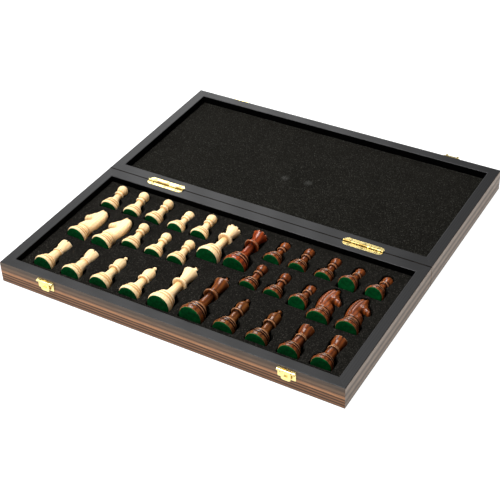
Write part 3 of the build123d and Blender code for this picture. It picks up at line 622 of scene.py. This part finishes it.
def reliefs_of(line, crest_reach=0.7, groove_reach=1.3):
    """How far each point of an outline stands out from its surroundings: 1 on a sharp crest, -1 in a groove."""
    lengths = [0.0]
    for start, end in zip(line, line[1:]):
        lengths.append(lengths[-1] + (Vector(end) - Vector(start)).length)

    def place_at(length):
        length = min(max(length, 0.0), lengths[-1])
        index = max(1, next(k for k, so_far in enumerate(lengths) if so_far >= length - 1e-9))
        share = (length - lengths[index - 1]) / max(lengths[index] - lengths[index - 1], 1e-9)
        return Vector(line[index - 1]).lerp(Vector(line[index]), share)

    def standing_out(point, length, reach):
        before, after = place_at(length - reach), place_at(length + reach)
        across = after - before
        outward = Vector((across.y, -across.x)).normalized()
        return (Vector(point) - (before + after) / 2).dot(outward) / reach * 1.4

    reliefs = []
    for point, length in zip(line, lengths):
        crest = standing_out(point, length, crest_reach)
        groove = standing_out(point, length, groove_reach)
        reliefs.append(crest if crest > 0.1 else min(crest, groove))
    return reliefs


def mark_creases(mesh, degrees=38):
    """Smooth shading, with a crease wherever two faces meet more sharply than this."""
    shape = bmesh.new()
    shape.from_mesh(mesh)
    bmesh.ops.recalc_face_normals(shape, faces=shape.faces)
    for face in shape.faces:
        face.smooth = True
    for edge in shape.edges:
        edge.smooth = len(edge.link_faces) == 2 and edge.calc_face_angle(0) < math.radians(degrees)
    shape.to_mesh(mesh)
    shape.free()
    mesh.update()


def write_mesh(shape, name):
    """A new mesh from a loose shape, which is then let go."""
    mesh = bpy.data.meshes.new(name)
    shape.to_mesh(mesh)
    shape.free()
    return mesh


def spin(name, line, painted_bands=()):
    """A closed mesh in metres, spun from an outline in millimetres; bands of painted shade and highlight set their
    relief.
    """
    shape = bmesh.new()
    standing = shape.verts.layers.float.new("relief")
    rings = []
    for (radius, height), relief in zip(line, reliefs_of(line)):
        relief = next((level for low, high, level in painted_bands if low <= height <= high), relief)
        angles = [2 * math.pi * k / turns for k in range(turns)] if radius > 1e-4 else [0.0]
        rings.append([shape.verts.new((radius * mm * math.cos(a), radius * mm * math.sin(a), height * mm))
                      for a in angles])
        for corner in rings[-1]:
            corner[standing] = relief
    for low, high in zip(rings, rings[1:]):
        for k in range(turns):
            corners = [low[k % len(low)], low[(k + 1) % len(low)], high[(k + 1) % len(high)], high[k % len(high)]]
            corners = list(dict.fromkeys(corners))
            if len(corners) > 2:
                shape.faces.new(corners)
    return write_mesh(shape, name)


# %% [markdown]
# ## Outlines of the six kinds
# All six share a foot of three beads that step in, and a hollow shoulder. Above it the pawn has one flange and
# a ball, the rook a tower, the bishop a mitre, the queen a flared crown and the king a dome with a cross.

# %% Outlines


def foot_outline(base, foot, shoulder, stem):
    """A broad bead, a thin ring and a middling bead, with a groove after each, then the hollow up to the stem."""
    points, low, step = [(0, felt_thickness)], felt_thickness, base / 2 * step_share
    for index, (share, swell) in enumerate(foot_beads):
        high = low + share * (foot - felt_thickness) - groove_width
        edge = base / 2 - index * step - swell
        floor = base / 2 - (index + 1) * step - swell - groove_depth
        points += [(edge, low), (edge, high, swell), (floor, high), (floor, high + groove_width)]
        low = high + groove_width
    points[-2:] = [(edge - bow, high)]
    return points + [(stem / 2, shoulder, -(shoulder - foot) / 10)]


def shade_and_highlight_bands(foot):
    """Painted shade in each groove and on the near side of the next bead; painted highlight on that bead's far side."""
    highlight_level, shade_level, last_step = 0.65, -0.5, 2.5
    bands, low = [], felt_thickness
    for index, (share, _) in enumerate(foot_beads):
        high = low + share * (foot - felt_thickness) - groove_width
        after = foot_beads[index + 1][0] * (foot - felt_thickness) if index < 2 else last_step
        edge = high + groove_width + 0.5 * (after - groove_width)
        bands += [(high + 0.1, edge, shade_level), (edge, high + after, highlight_level)]
        low = high + groove_width
    return bands


def collar_outline(collar, low, height, neck):
    """A flange and a smaller bead above it."""
    flange, edge = height * 0.45, collar / 2 - bow
    return [(edge, low), (edge, low + flange, bow), (edge - 2.1, low + flange), (edge - 1.8, low + flange + 0.2),
            (edge - 1.8, low + height, bow), (neck / 2, low + height)]


def ball_bow(radius, start, end):
    """How far an arc of this radius bows out between two points."""
    chord = math.hypot(end[0] - start[0], end[1] - start[1])
    return radius - math.sqrt(max(0.0, radius ** 2 - chord ** 2 / 4))


base_of = {"pawn": 21.0, "rook": 23.4, "bishop": 24.0, "queen": 27.2, "king": 27.2, "knight": 24.8}
foot_of = {"pawn": 12.4, "rook": 13.0, "bishop": 14.6, "queen": 17.0, "king": 17.8, "knight": 12.0}

pawn_neck, pawn_top = (3.7, 26.28), (0, 37.0)
pawn_line = foot_outline(21.0, 12.4, 18.0, 7.8) + [
    (3.7, 22.4), (5.0, 22.4), (5.0, 24.4, bow), pawn_neck, (*pawn_top, ball_bow(6.0, pawn_neck, pawn_top))]
rook_line = foot_outline(23.4, 13.0, 20.0, 11.8) + [
    (5.2, 26.5), *collar_outline(12.8, 26.5, 2.6, 11.0), (7.3, 36.0, -bow), (7.8, 42.5), (4.7, 42.5), (4.7, 39.5),
    (0, 39.5)]
bishop_waist, bishop_top = (1.38, 48.36), (0, 52.5)
bishop_line = foot_outline(24.0, 14.6, 22.0, 9.4) + [
    (4.3, 28.8), *collar_outline(14.2, 28.8, 3.6, 9.8), (6.6, 39.6, bow), (*bishop_waist, 2 * bow),
    (*bishop_top, ball_bow(2.3, bishop_waist, bishop_top))]
queen_waist, queen_top = (1.5, 59.5), (0, 64.0)
queen_line = foot_outline(27.2, 17.0, 25.5, 9.2) + [
    (4.0, 38.2), *collar_outline(17.0, 38.2, 4.6, 9.4), (8.6, 57.0, -0.85), (7.5, 58.1, bow / 2), (6.4, 56.45),
    (*queen_waist, bow), (*queen_top, ball_bow(2.5, queen_waist, queen_top))]
king_line = foot_outline(27.2, 17.8, 26.5, 9.8) + [
    (4.4, 40.0), *collar_outline(17.0, 40.0, 4.6, 10.6), (8.6, 62.0, -1.04), (7.7, 62.9, bow / 2), (1.6, 66.2, 0.9),
    (0, 66.2)]
knight_line = foot_outline(24.8, 12.0, 14.5, 16.8) + [(8.8, 14.5), (8.8, 17.1, bow), (0, 17.1)]
outlines = {"pawn": pawn_line, "rook": rook_line, "bishop": bishop_line, "queen": queen_line, "king": king_line,
            "knight": knight_line}
print({kind: len(draw_outline(line)) for kind, line in outlines.items()})

# %% [markdown]
# ## Cuts and crosses
# A turned blank is finished with a saw and a file: slots in the rook's wall, a slit in the mitre, scallops in
# the queen's crown. Each cutter is a simple bevelled block or rod, taken away with a boolean. The king's cross
# is two blocks joined on in the same way.

# %% Cutting helper


def make_block(name, width, depth, height, place, turn=None):
    """A block with eased edges as a loose object, in millimetres."""
    shape = bmesh.new()
    bmesh.ops.create_cube(shape, size=1)
    bmesh.ops.scale(shape, vec=(width * mm, depth * mm, height * mm), verts=shape.verts)
    bmesh.ops.bevel(shape, geom=shape.edges[:], offset=0.15 * mm, segments=2, affect="EDGES", profile=0.5)
    block = bpy.data.objects.new(name, write_mesh(shape, name))
    block.matrix_world = Matrix.Translation(Vector(place) * mm) @ (turn or Matrix.Identity(4))
    return block


def make_rod(name, radius, length, place):
    """An upright rod as a loose object, in millimetres."""
    shape = bmesh.new()
    bmesh.ops.create_cone(shape, cap_ends=True, segments=20, radius1=radius * mm, radius2=radius * mm,
                          depth=length * mm)
    rod = bpy.data.objects.new(name, write_mesh(shape, name))
    rod.matrix_world = Matrix.Translation(Vector(place) * mm)
    return rod


def combine(mesh, tools, operation):
    """Cuts loose objects from a mesh, or joins them to it, and returns the new mesh."""
    blank = bpy.data.objects.new(mesh.name + "_blank", mesh)
    bpy.context.scene.collection.objects.link(blank)
    for tool in tools:
        bpy.context.scene.collection.objects.link(tool)
        cut = blank.modifiers.new(tool.name, "BOOLEAN")
        cut.operation, cut.object, cut.solver = operation, tool, "EXACT"
    bpy.context.view_layer.update()
    made = bpy.data.meshes.new_from_object(blank.evaluated_get(bpy.context.evaluated_depsgraph_get()))
    made.name = mesh.name
    for loose in (blank, *tools):
        bpy.data.objects.remove(loose)
    return made


# %% Blanks of every kind, cut and joined
slot_count, slot_size, slot_reach, slot_height = 5, (5.4, 1.5, 4.0), 6.2, 42.7
scallop_count, scallop_radius, scallop_length, scallop_reach, scallop_height = 9, 1.5, 3.8, 8.6, 57.6
slit_size, slit_place, slit_lean = (20, 9.0, 1.0), (0, -4.0, 44.1), math.radians(-35)
post_size, post_place = (2.1, 2.4, 8.0), (0, 0, 69.5)
arms_size, arms_place = (6.2, 2.4, 2.1), (0, 0, 70.1)


def around(count, reach, height):
    """Places spread evenly round the axis, each with its angle."""
    angles = [2 * math.pi * index / count for index in range(count)]
    return [(angle, (reach * math.cos(angle), reach * math.sin(angle), height)) for angle in angles]


def make_kind(kind):
    """The finished wood of one kind, upright on its felt."""
    mesh = spin(kind, ease_corners(draw_outline(outlines[kind])), shade_and_highlight_bands(foot_of[kind]))
    if kind == "rook":
        slots = [make_block(f"slot_{index}", *slot_size, place, Matrix.Rotation(angle, 4, "Z"))
                 for index, (angle, place) in enumerate(around(slot_count, slot_reach, slot_height))]
        mesh = combine(mesh, slots, "DIFFERENCE")
    if kind == "bishop":
        slit = make_block("slit", *slit_size, slit_place, Matrix.Rotation(slit_lean, 4, "X"))
        mesh = combine(mesh, [slit], "DIFFERENCE")
    if kind == "queen":
        scallops = [make_rod(f"scallop_{index}", scallop_radius, scallop_length, place)
                    for index, (_, place) in enumerate(around(scallop_count, scallop_reach, scallop_height))]
        mesh = combine(mesh, scallops, "DIFFERENCE")
    if kind == "king":
        post = make_block("post", *post_size, post_place)
        arms = make_block("arms", *arms_size, arms_place)
        mesh = combine(mesh, [post, arms], "UNION")
    return mesh


kinds = {kind: make_kind(kind) for kind in outlines}
print({kind: len(mesh.vertices) for kind, mesh in kinds.items()})

# %% [markdown]
# ## The knight's head
# A knight is the one man that can't be turned: its head is carved. It is built here like a cameo. The
# profile is filled with a fine net of triangles, and each point is pushed out to both sides by a thickness that
# is full in the neck, thin at the muzzle and ears, and rolls off to nothing at the outline. Hollows and swells
# laid over that thickness carve the mane, the cheek, the eye, the nostril and the mouth.

# %% Knight's head
knight_profile = [
    (8.3, 15.2), (8.7, 18.9), (8.3, 22.4), (6.6, 25.4), (4.3, 27.8), (2.3, 29.9), (3.2, 31.9), (5.6, 31.5),
    (8.0, 30.5), (10.1, 29.6), (11.4, 29.8), (12.1, 31.2), (12.0, 33.2), (11.2, 35.0), (9.7, 37.0),
    (7.7, 39.5), (6.1, 41.7), (4.9, 43.7), (4.1, 45.9), (3.5, 48.1), (2.7, 50.4), (1.7, 52.4), (0.4, 51.5),
    (-0.8, 50.1), (-2.5, 50.8), (-4.5, 50.1), (-6.4, 48.6), (-8.0, 46.3), (-9.2, 43.2), (-10.1, 39.6),
    (-10.8, 35.6), (-11.1, 31.3), (-11.1, 27.3), (-10.7, 23.3), (-9.9, 19.5), (-8.9, 16.8), (-8.1, 15.2),
]


def smooth_loop(points, count=4):
    """A closed smooth curve through the points."""
    loop = []
    for index in range(len(points)):
        a, b, c, d = (Vector(points[(index + k) % len(points)]) for k in (-1, 0, 1, 2))
        for k in range(count):
            t = k / count
            loop.append(0.5 * ((2 * b) + (c - a) * t + (2 * a - 5 * b + 4 * c - d) * t ** 2
                               + (3 * b - a - 3 * c + d) * t ** 3))
    return loop


def soft_bump(x, y, centre, size):
    """A soft round bump: one at its centre, nothing beyond its size."""
    away = math.hypot((x - centre[0]) / size[0], (y - centre[1]) / size[1])
    return (1 - min(away, 1.0) ** 2) ** 2


def distance_to_stroke(x, y, stroke):
    """Distance from a point to a line drawn through several points."""
    best = 1e9
    for start, end in zip(stroke, stroke[1:]):
        along = Vector(end) - Vector(start)
        t = max(0.0, min(1.0, (Vector((x, y)) - Vector(start)).dot(along) / along.length_squared))
        best = min(best, (Vector((x, y)) - Vector(start) - along * t).length)
    return best


mouth_line = [(12.4, 31.0), (10.2, 31.8), (8.2, 32.5)]
jaw_line = [(2.5, 32.2), (4.5, 33.1), (5.8, 35.4), (5.8, 38.0)]
mane_edge = [(-1.2, 50.4), (-3.1, 45.2), (-4.5, 39.2), (-5.0, 32.9), (-4.9, 26.6), (-3.5, 20.6), (-2.3, 15.0)]
brow_line = [(5.0, 44.3), (6.2, 41.7), (8.0, 39.5)]


def cheek_height(x, y, edge):
    """Half thickness of the head at a point of its profile, this far in from the outline, in millimetres."""
    full = 6.5 - 2.9 * max(0.0, (y - 25) / 27) - 1.5 * max(0.0, (x - 4) / 9)
    height = full * math.sqrt(1 - (1 - min(edge / (full * 0.85), 1.0)) ** 2)
    height += 0.75 * soft_bump(x, y, (3.1, 37.2), (4.3, 5.4)) + 0.5 * soft_bump(x, y, (10.2, 33.2), (2.4, 2.4))
    height += 0.45 * soft_bump(x, y, (4.5, 42.3), (1.1, 1.0)) - 0.45 * soft_bump(x, y, (5.7, 41.0), (1.5, 1.4))
    height -= 0.7 * soft_bump(x, y, (11.3, 33.2), (0.8, 0.8))
    height += 0.5 * soft_bump(x, y, (0.9, 48.8), (1.5, 3.3)) - 0.6 * soft_bump(x, y, (1.5, 49.2), (0.7, 2.1))
    height -= 0.55 * max(0.0, 1 - distance_to_stroke(x, y, mouth_line) / 0.45)
    height -= 0.35 * max(0.0, 1 - distance_to_stroke(x, y, jaw_line) / 0.8)
    height += 0.25 * max(0.0, 1 - distance_to_stroke(x, y, brow_line) / 0.7)
    crest = distance_to_stroke(x, y, mane_edge)
    behind = x < -1.2 - 3.7 * math.sin(math.pi * min(max((50.4 - y) / 35.4, 0), 1))
    height -= 0.22 * max(0.0, 1 - crest / 0.7)
    if behind:
        lock = math.sin((y * 0.94 + x * 0.55) * 2 * math.pi / 3.3)
        height += (0.16 * lock + 0.15) * min(crest / 1.2, 1.0) * min(edge / 1.2, 1.0)
    return max(height, 0.02)


def cheek_relief(x, y, edge, reach=0.6):
    """How far a point of the cheek stands out, raised near the outline; it sets painted highlight and painted shade."""
    around = [cheek_height(x + dx, y + dy, edge) for dx, dy in ((reach, 0), (-reach, 0), (0, reach), (0, -reach))]
    return (cheek_height(x, y, edge) - sum(around) / 4) / reach * 1.6 + 0.25 * max(0.0, 1 - edge / 0.6)


def make_knight_head():
    """Both cheeks of the head, joined round the outline."""
    loop = smooth_loop(knight_profile)
    points, net = list(loop), 0.62
    outline = [tuple(p) for p in loop]
    for row in range(int(15 / net), int(53 / net) + 1):
        for column in range(int(-12 / net), int(14 / net) + 1):
            points.append(Vector(((column + 0.5 * (row % 2)) * net, row * net)))
    ring = [(k, (k + 1) % len(loop)) for k in range(len(loop))]
    flat, _, faces, origins, _, _ = delaunay_2d_cdt(points, ring, [list(range(len(loop)))], 1, 1e-5)
    closed = outline + outline[:1]
    shape = bmesh.new()
    standing = shape.verts.layers.float.new("relief")
    front, back, on_edge = [], [], []
    for p in flat:
        edge = distance_to_stroke(p.x, p.y, closed)
        on_edge.append(edge < 0.05)
        half = 0.0 if on_edge[-1] else cheek_height(p.x, p.y, edge)
        front.append(shape.verts.new((p.x * mm, -half * mm, p.y * mm)))
        back.append(front[-1] if on_edge[-1] else shape.verts.new((p.x * mm, half * mm, p.y * mm)))
        front[-1][standing] = back[-1][standing] = cheek_relief(p.x, p.y, edge)
    for face in faces:
        if not all(on_edge[k] for k in face):
            shape.faces.new([front[k] for k in face])
            shape.faces.new([back[k] for k in reversed(face)])
    bmesh.ops.delete(shape, geom=[v for v in shape.verts if not v.link_faces], context="VERTS")
    return write_mesh(shape, "knight_head")


knight_head = make_knight_head()
print("knight's head", len(knight_head.vertices), "points")

# %% [markdown]
# ## Placing the men
# Every man lies on its side in its own seat. Its own frame has Z from felt to head; in the tray that Z points
# at the hinge line, tipped up by a few degrees where the head rides high on the foam. A felt disc closes each
# foot. The pale knights look left and the dark ones right.

# %% Men in their seats
front_row, knight_row, middle_row, queen_row, back_row = 176.6, 120.8, 108.4, 88.2, 59.6
back_columns, middle_columns = (45.1, 74.4, 104.9, 133.1, 162.9), (43.6, 72.0, 101.7)
king_column, queen_column = 18.7, 16.1
rook_columns, bishop_columns, knight_columns = (127.9, 163.1), (55.6, 92.2), (129.9, 161.8)
king_tilt, rook_tilt, bishop_tilt = -2.5, -3.0, 0
queen_tilts = {"light": -2.0, "dark": 2.3}
knight_lies = {"light": (2.0, -3.0), "dark": (-1.5, 1.5)}
pawn_lies = {
    "light": [(6.0, 2.0, 1.2), (-1.3, 0.0, 0.6), (10.0, -4.3, 0.7), (10.0, 3.8, 0.3), (9.0, 2.4, 0.0),
              (4.4, 0.6, 1.0), (4.6, 2.8, 0.2), (9.5, 1.6, 0.0)],
    "dark": [(-2.7, -1.3, 0.6), (0.8, 0.0, 0.7), (0.0, -1.6, 0.0), (-11.3, -2.7, 2.2), (-8.6, -4.1, 1.1),
             (4.2, -1.3, 0.0), (2.9, 0.4, 0.0), (-8.4, -1.2, 1.5)],
}
seat_floor = 4.5


def list_men(colour):
    """One colour's men: name, kind, column and row of the foot's upper edge, then tilt, swing and lift."""
    men = [("king", "king", king_column, front_row, king_tilt),
           ("queen", "queen", queen_column, queen_row, queen_tilts[colour])]
    for kind, columns, row, lie in (("rook", rook_columns, front_row, (rook_tilt,)),
                                    ("bishop", bishop_columns, front_row, (bishop_tilt,)),
                                    ("knight", knight_columns, knight_row, knight_lies[colour])):
        men += [(f"{kind}_{k + 1}", kind, column, row, *lie) for k, column in enumerate(columns)]
    places = [(column, back_row) for column in back_columns] + [(column, middle_row) for column in middle_columns]
    for k, ((column, row), lie) in enumerate(zip(places, pawn_lies[colour])):
        men.append((f"pawn_{k + 1}", "pawn", column, row, *lie))
    return men


def seat_matrix(kind, column, row, tilt, swing=0.0, lift=0.0):
    """Frame of a man in its seat: origin at the middle of its felt, Z along its axis."""
    lean, swung, radius = math.radians(tilt), math.radians(swing), base_of[kind] / 2
    height = seat_floor + lift + radius * math.cos(lean) + foot_of[kind] * math.sin(max(-lean, 0))
    side = -1 if kind == "knight" and column < 0 else 1
    across = Vector((math.cos(swung), math.sin(swung), 0)) * side
    axis = Vector((-math.sin(swung) * math.cos(lean), math.cos(swung) * math.cos(lean), math.sin(lean)))
    turned = Matrix((across, axis.cross(across), axis)).transposed().to_4x4()
    return Matrix.Translation(Vector((column, radius * math.sin(lean) - row, height)) * mm) @ turned


def make_felt_mesh(kind):
    """A felt disc with a soft edge, a little domed underneath."""
    radius = base_of[kind] / 2 - felt_inset
    line = [(0, 0.05), (radius * 0.6, 0.02), (radius - 0.5, 0.0), (radius - 0.1, 0.25, 0.05), (radius, 0.9), (0, 1.0)]
    mesh = spin(f"{kind}_felt", draw_outline(line, 3))
    mark_creases(mesh)
    return mesh


def add_piece(name, mesh, matrix, finish, body, slot):
    """Links a piece with its finish and lets it ride on a body."""
    piece = bpy.data.objects.new(name, mesh)
    bpy.context.scene.collection.objects.link(piece)
    piece.matrix_world = matrix
    if finish.name not in mesh.materials:
        mesh.materials.append(finish)
    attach(piece, body)
    return piece


def join_meshes(name, meshes):
    """One mesh from several."""
    shape = bmesh.new()
    for mesh in meshes:
        shape.from_mesh(mesh)
    return write_mesh(shape, name)


def lay_down(mesh, matrix, laid):
    """A copy of a mesh turned as its man lies, and the place where it goes; men that lie alike share one copy."""
    turn = matrix.to_3x3().to_4x4()
    key = (mesh.name, *(round(value, 4) for row in turn for value in row))
    if key not in laid:
        laid[key] = mesh.copy()
        laid[key].transform(turn)
    return laid[key], Matrix.Translation(matrix.translation)


redness_of = {"pawn": 0.35, "rook": 0.35, "bishop": 0.0, "knight": 0.45, "queen": 1.0, "king": 0.2}
felts = {kind: make_felt_mesh(kind) for kind in outlines}
placed, laid = 0, {}
for colour, side, wood, slot in (("light", -1, boxwood, "boxwood"), ("dark", 1, rosewood, "rosewood")):
    woods = {}
    for kind, mesh in kinds.items():
        parts = [mesh, knight_head] if kind == "knight" else [mesh]
        woods[kind] = join_meshes(f"{colour}_{kind}", parts)
        redness = woods[kind].attributes.new("redness", "FLOAT", "POINT")
        redness.data.foreach_set("value", [redness_of[kind] * (colour == "dark")] * len(woods[kind].vertices))
        mark_creases(woods[kind])
    for name, kind, column, *lie in list_men(colour):
        body = f"{colour}_{name}"
        matrix = seat_matrix(kind, side * column, *lie)
        man = add_piece(f"{body}_wood", *lay_down(woods[kind], matrix, laid), wood, body, slot)
        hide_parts(body)
        add_piece(f"{body}_felt", *lay_down(felts[kind], matrix, laid), felt, body, slot)
        placed += 1
print("men placed:", placed)

# %% [markdown]
# ## Foam
# Closed-cell foam is a dull charcoal with a salt-and-pepper grain: every cut cell shows its own tone, and a
# few catch the light as pale specks. Two cell textures of different size make the tones, the specks and the
# pitted surface. Two wisps of lint cling to the pad in the lid.

# %% Foam material
lint_tone = (0.075, 0.075, 0.070, 1)


def make_foam(name, tone, speck, lint=()):
    """Charcoal foam with its cells, its pale specks and any wisps of lint."""
    material, tree, shader = start_material(name, Specular_IOR_Level=0.03)
    place = own_place(tree)
    cells = add_node(tree, "ShaderNodeTexVoronoi", {"Vector": place, "Scale": 1400.0})
    tones = split(tree, cells.outputs["Color"])
    cloud = speckle(tree, place, 28.0, 4.0)
    grit = speckle(tree, place, 700.0, 3.0)
    shade = calculate(tree, "MULTIPLY", remap(tree, tones["X"], 0, 1, 0.55, 1.45),
                      remap(tree, cloud, 0.3, 0.7, 0.85, 1.15))
    shade = calculate(tree, "MULTIPLY", shade, remap(tree, grit, 0.3, 0.7, 0.7, 1.3))
    colour = scale_colour(tree, tone, shade)
    specks = remap(tree, tones["Y"], 0.86, 0.99)
    colour = mix_colours(tree, specks, colour, speck)
    for spot in lint:
        away = vector_step(tree, "DISTANCE", place, spot, "Value")
        wisp = calculate(tree, "MULTIPLY", remap(tree, away, 6 * mm, 2 * mm),
                         remap(tree, grit, 0.35, 0.65, 0.0, 0.5))
        colour = mix_colours(tree, wisp, colour, lint_tone)
    pits = calculate(tree, "ADD", cells.outputs["Distance"], grit)
    feed(tree, shader, colour, remap(tree, grit, 0.3, 0.7, 0.85, 1.0), pits, 0.0006, 0.6)
    return material


lint_spots = ((-0.0155, 0.0834, 0.0174), (0.0126, 0.0866, 0.0174))
tray_foam = make_foam("tray_foam", (0.0065, 0.0061, 0.0050), (0.034, 0.031, 0.027, 1))
lid_foam = make_foam("lid_foam", (0.0066, 0.0063, 0.0050), (0.034, 0.033, 0.029, 1), lint_spots)

# %% [markdown]
# ## Linings
# The tray's foam is cut with a seat for every man, and the lid's is a plain pad. A knife leaves foam with soft,
# slightly wandering edges. Filling the measured shape with small even cells rounds every edge a little, and a
# slow noise lets the surface rise and sink by a few tenths of a millimetre.

# %% Linings


def make_lining(name, node, cell, swing):
    """A softened copy of a measured lining."""
    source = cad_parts[node]
    copy = bpy.data.objects.new(name + "_source", source.data.copy())
    bpy.context.scene.collection.objects.link(copy)
    fill = copy.modifiers.new("cells", "REMESH")
    fill.mode, fill.voxel_size = "VOXEL", cell
    soften = copy.modifiers.new("soften", "SMOOTH")
    soften.factor, soften.iterations = 0.5, 3
    bpy.context.view_layer.update()
    mesh = bpy.data.meshes.new_from_object(copy.evaluated_get(bpy.context.evaluated_depsgraph_get()))
    bpy.data.objects.remove(copy)
    mesh.materials.clear()
    low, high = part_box(node)
    for vertex in mesh.vertices:
        place = vertex.co
        rise = noise.noise(place * 45) * 0.7 + noise.noise(place * 160) * 0.3
        place.z += rise * swing * min(1.0, max(0.0, (place.z - low.z) / 0.012))
        place.z = min(place.z, high.z)
    mesh.polygons.foreach_set("use_smooth", [True] * len(mesh.polygons))
    mesh.update()
    return mesh


foam_cell = 0.0009
at_rest = Matrix.Identity(4)
tray_lining = add_piece("tray_lining_foam", make_lining("tray_lining_foam", "tray_lining", foam_cell, 0.0003), at_rest,
                        tray_foam, "tray", "charcoal_foam")
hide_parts("tray_lining")
lid_pad = add_piece("lid_pad_foam", make_lining("lid_pad_foam", "lid_pad", 0.0016, 0.0004), at_rest, lid_foam, "lid",
                    "charcoal_foam")
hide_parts("lid_pad")
print("lining", len(tray_lining.data.vertices), "pad", len(lid_pad.data.vertices))

# %% [markdown]
# ## Screws and brads
# Three small countersunk screws hold each hinge leaf, and two brads each latch plate and catch. A screw head
# is a shallow dome with a slot sunk in it; a brad is a plain dome.

# %% Screws and brads


def make_screw_mesh():
    """A slotted head of 3.4 mm, almost flush with the leaf so that the case still shuts."""
    line = [(0, -0.3), (1.7, -0.3), (1.7, 0.02), (1.5, 0.07, 0.02), (0, 0.12, 0.015)]
    head = spin("screw", draw_outline(line, 3))
    head = combine(head, [make_block("slot", 4.0, 0.45, 0.5, (0, 0, 0.15))], "DIFFERENCE")
    mark_creases(head)
    return head


def make_brad_mesh():
    """A plain domed head of 2.1 mm."""
    line = [(0, -0.2), (1.05, -0.2), (1.05, 0.0), (0, 0.5, 0.18)]
    head = spin("brad", draw_outline(line, 5))
    mark_creases(head)
    return head


screw_mesh, brad_mesh = make_screw_mesh(), make_brad_mesh()
chance = random.Random(7)
hinge_middle, screw_spacing, screw_reach, rim_height = 122.7, 16.0, 4.1, 25.0
for body, side in (("tray", -1), ("lid", 1)):
    for hinge, middle in (("left", -hinge_middle), ("right", hinge_middle)):
        for index in range(3):
            place = Vector((middle + (index - 1) * screw_spacing, side * screw_reach, rim_height)) * mm
            turn = Matrix.Rotation(chance.uniform(0, math.pi), 4, "Z")
            add_piece(f"{body}_{hinge}_screw_{index + 1}", screw_mesh, Matrix.Translation(place) @ turn, screw_brass,
                      body, "brass")
latch_middle, latch_face, brad_reach, brad_height = 140.0, 200.8, 7.3, 17.8
for latch, middle in (("left", -latch_middle), ("right", latch_middle)):
    for body, face, turn in (("tray", -latch_face, 90), ("lid", latch_face, -90)):
        for index, side in enumerate((-1, 1)):
            place = Vector((middle + side * brad_reach, face, brad_height)) * mm
            add_piece(f"{body}_{latch}_brad_{index + 1}", brad_mesh,
                      Matrix.Translation(place) @ Matrix.Rotation(math.radians(turn), 4, "X"), brass, body, "brass")
print("screws and brads placed")

# %% [markdown]
# ## Floor
# A wide pale sheet, not part of the case. It lies a fraction of a millimetre below the case, so that the two
# never share a plane.

# %% Floor
floor_size, floor_drop = 6, 0.2 * mm

floor_shape = bmesh.new()
bmesh.ops.create_grid(floor_shape, x_segments=2, y_segments=2, size=floor_size)
floor = bpy.data.objects.new("floor", write_mesh(floor_shape, "floor"))
floor.location.z = -floor_drop
bpy.context.scene.collection.objects.link(floor)
floor_paint, floor_tree, floor_shader = start_material("floor_paint", Roughness=0.9, Emission_Strength=1.0)
floor_shader.inputs["Base Color"].default_value = (0.2, 0.2, 0.2, 1)
floor_shader.inputs["Emission Color"].default_value = (1, 1, 1, 1)
floor.data.materials.append(floor_paint)
print("floor", floor.name)
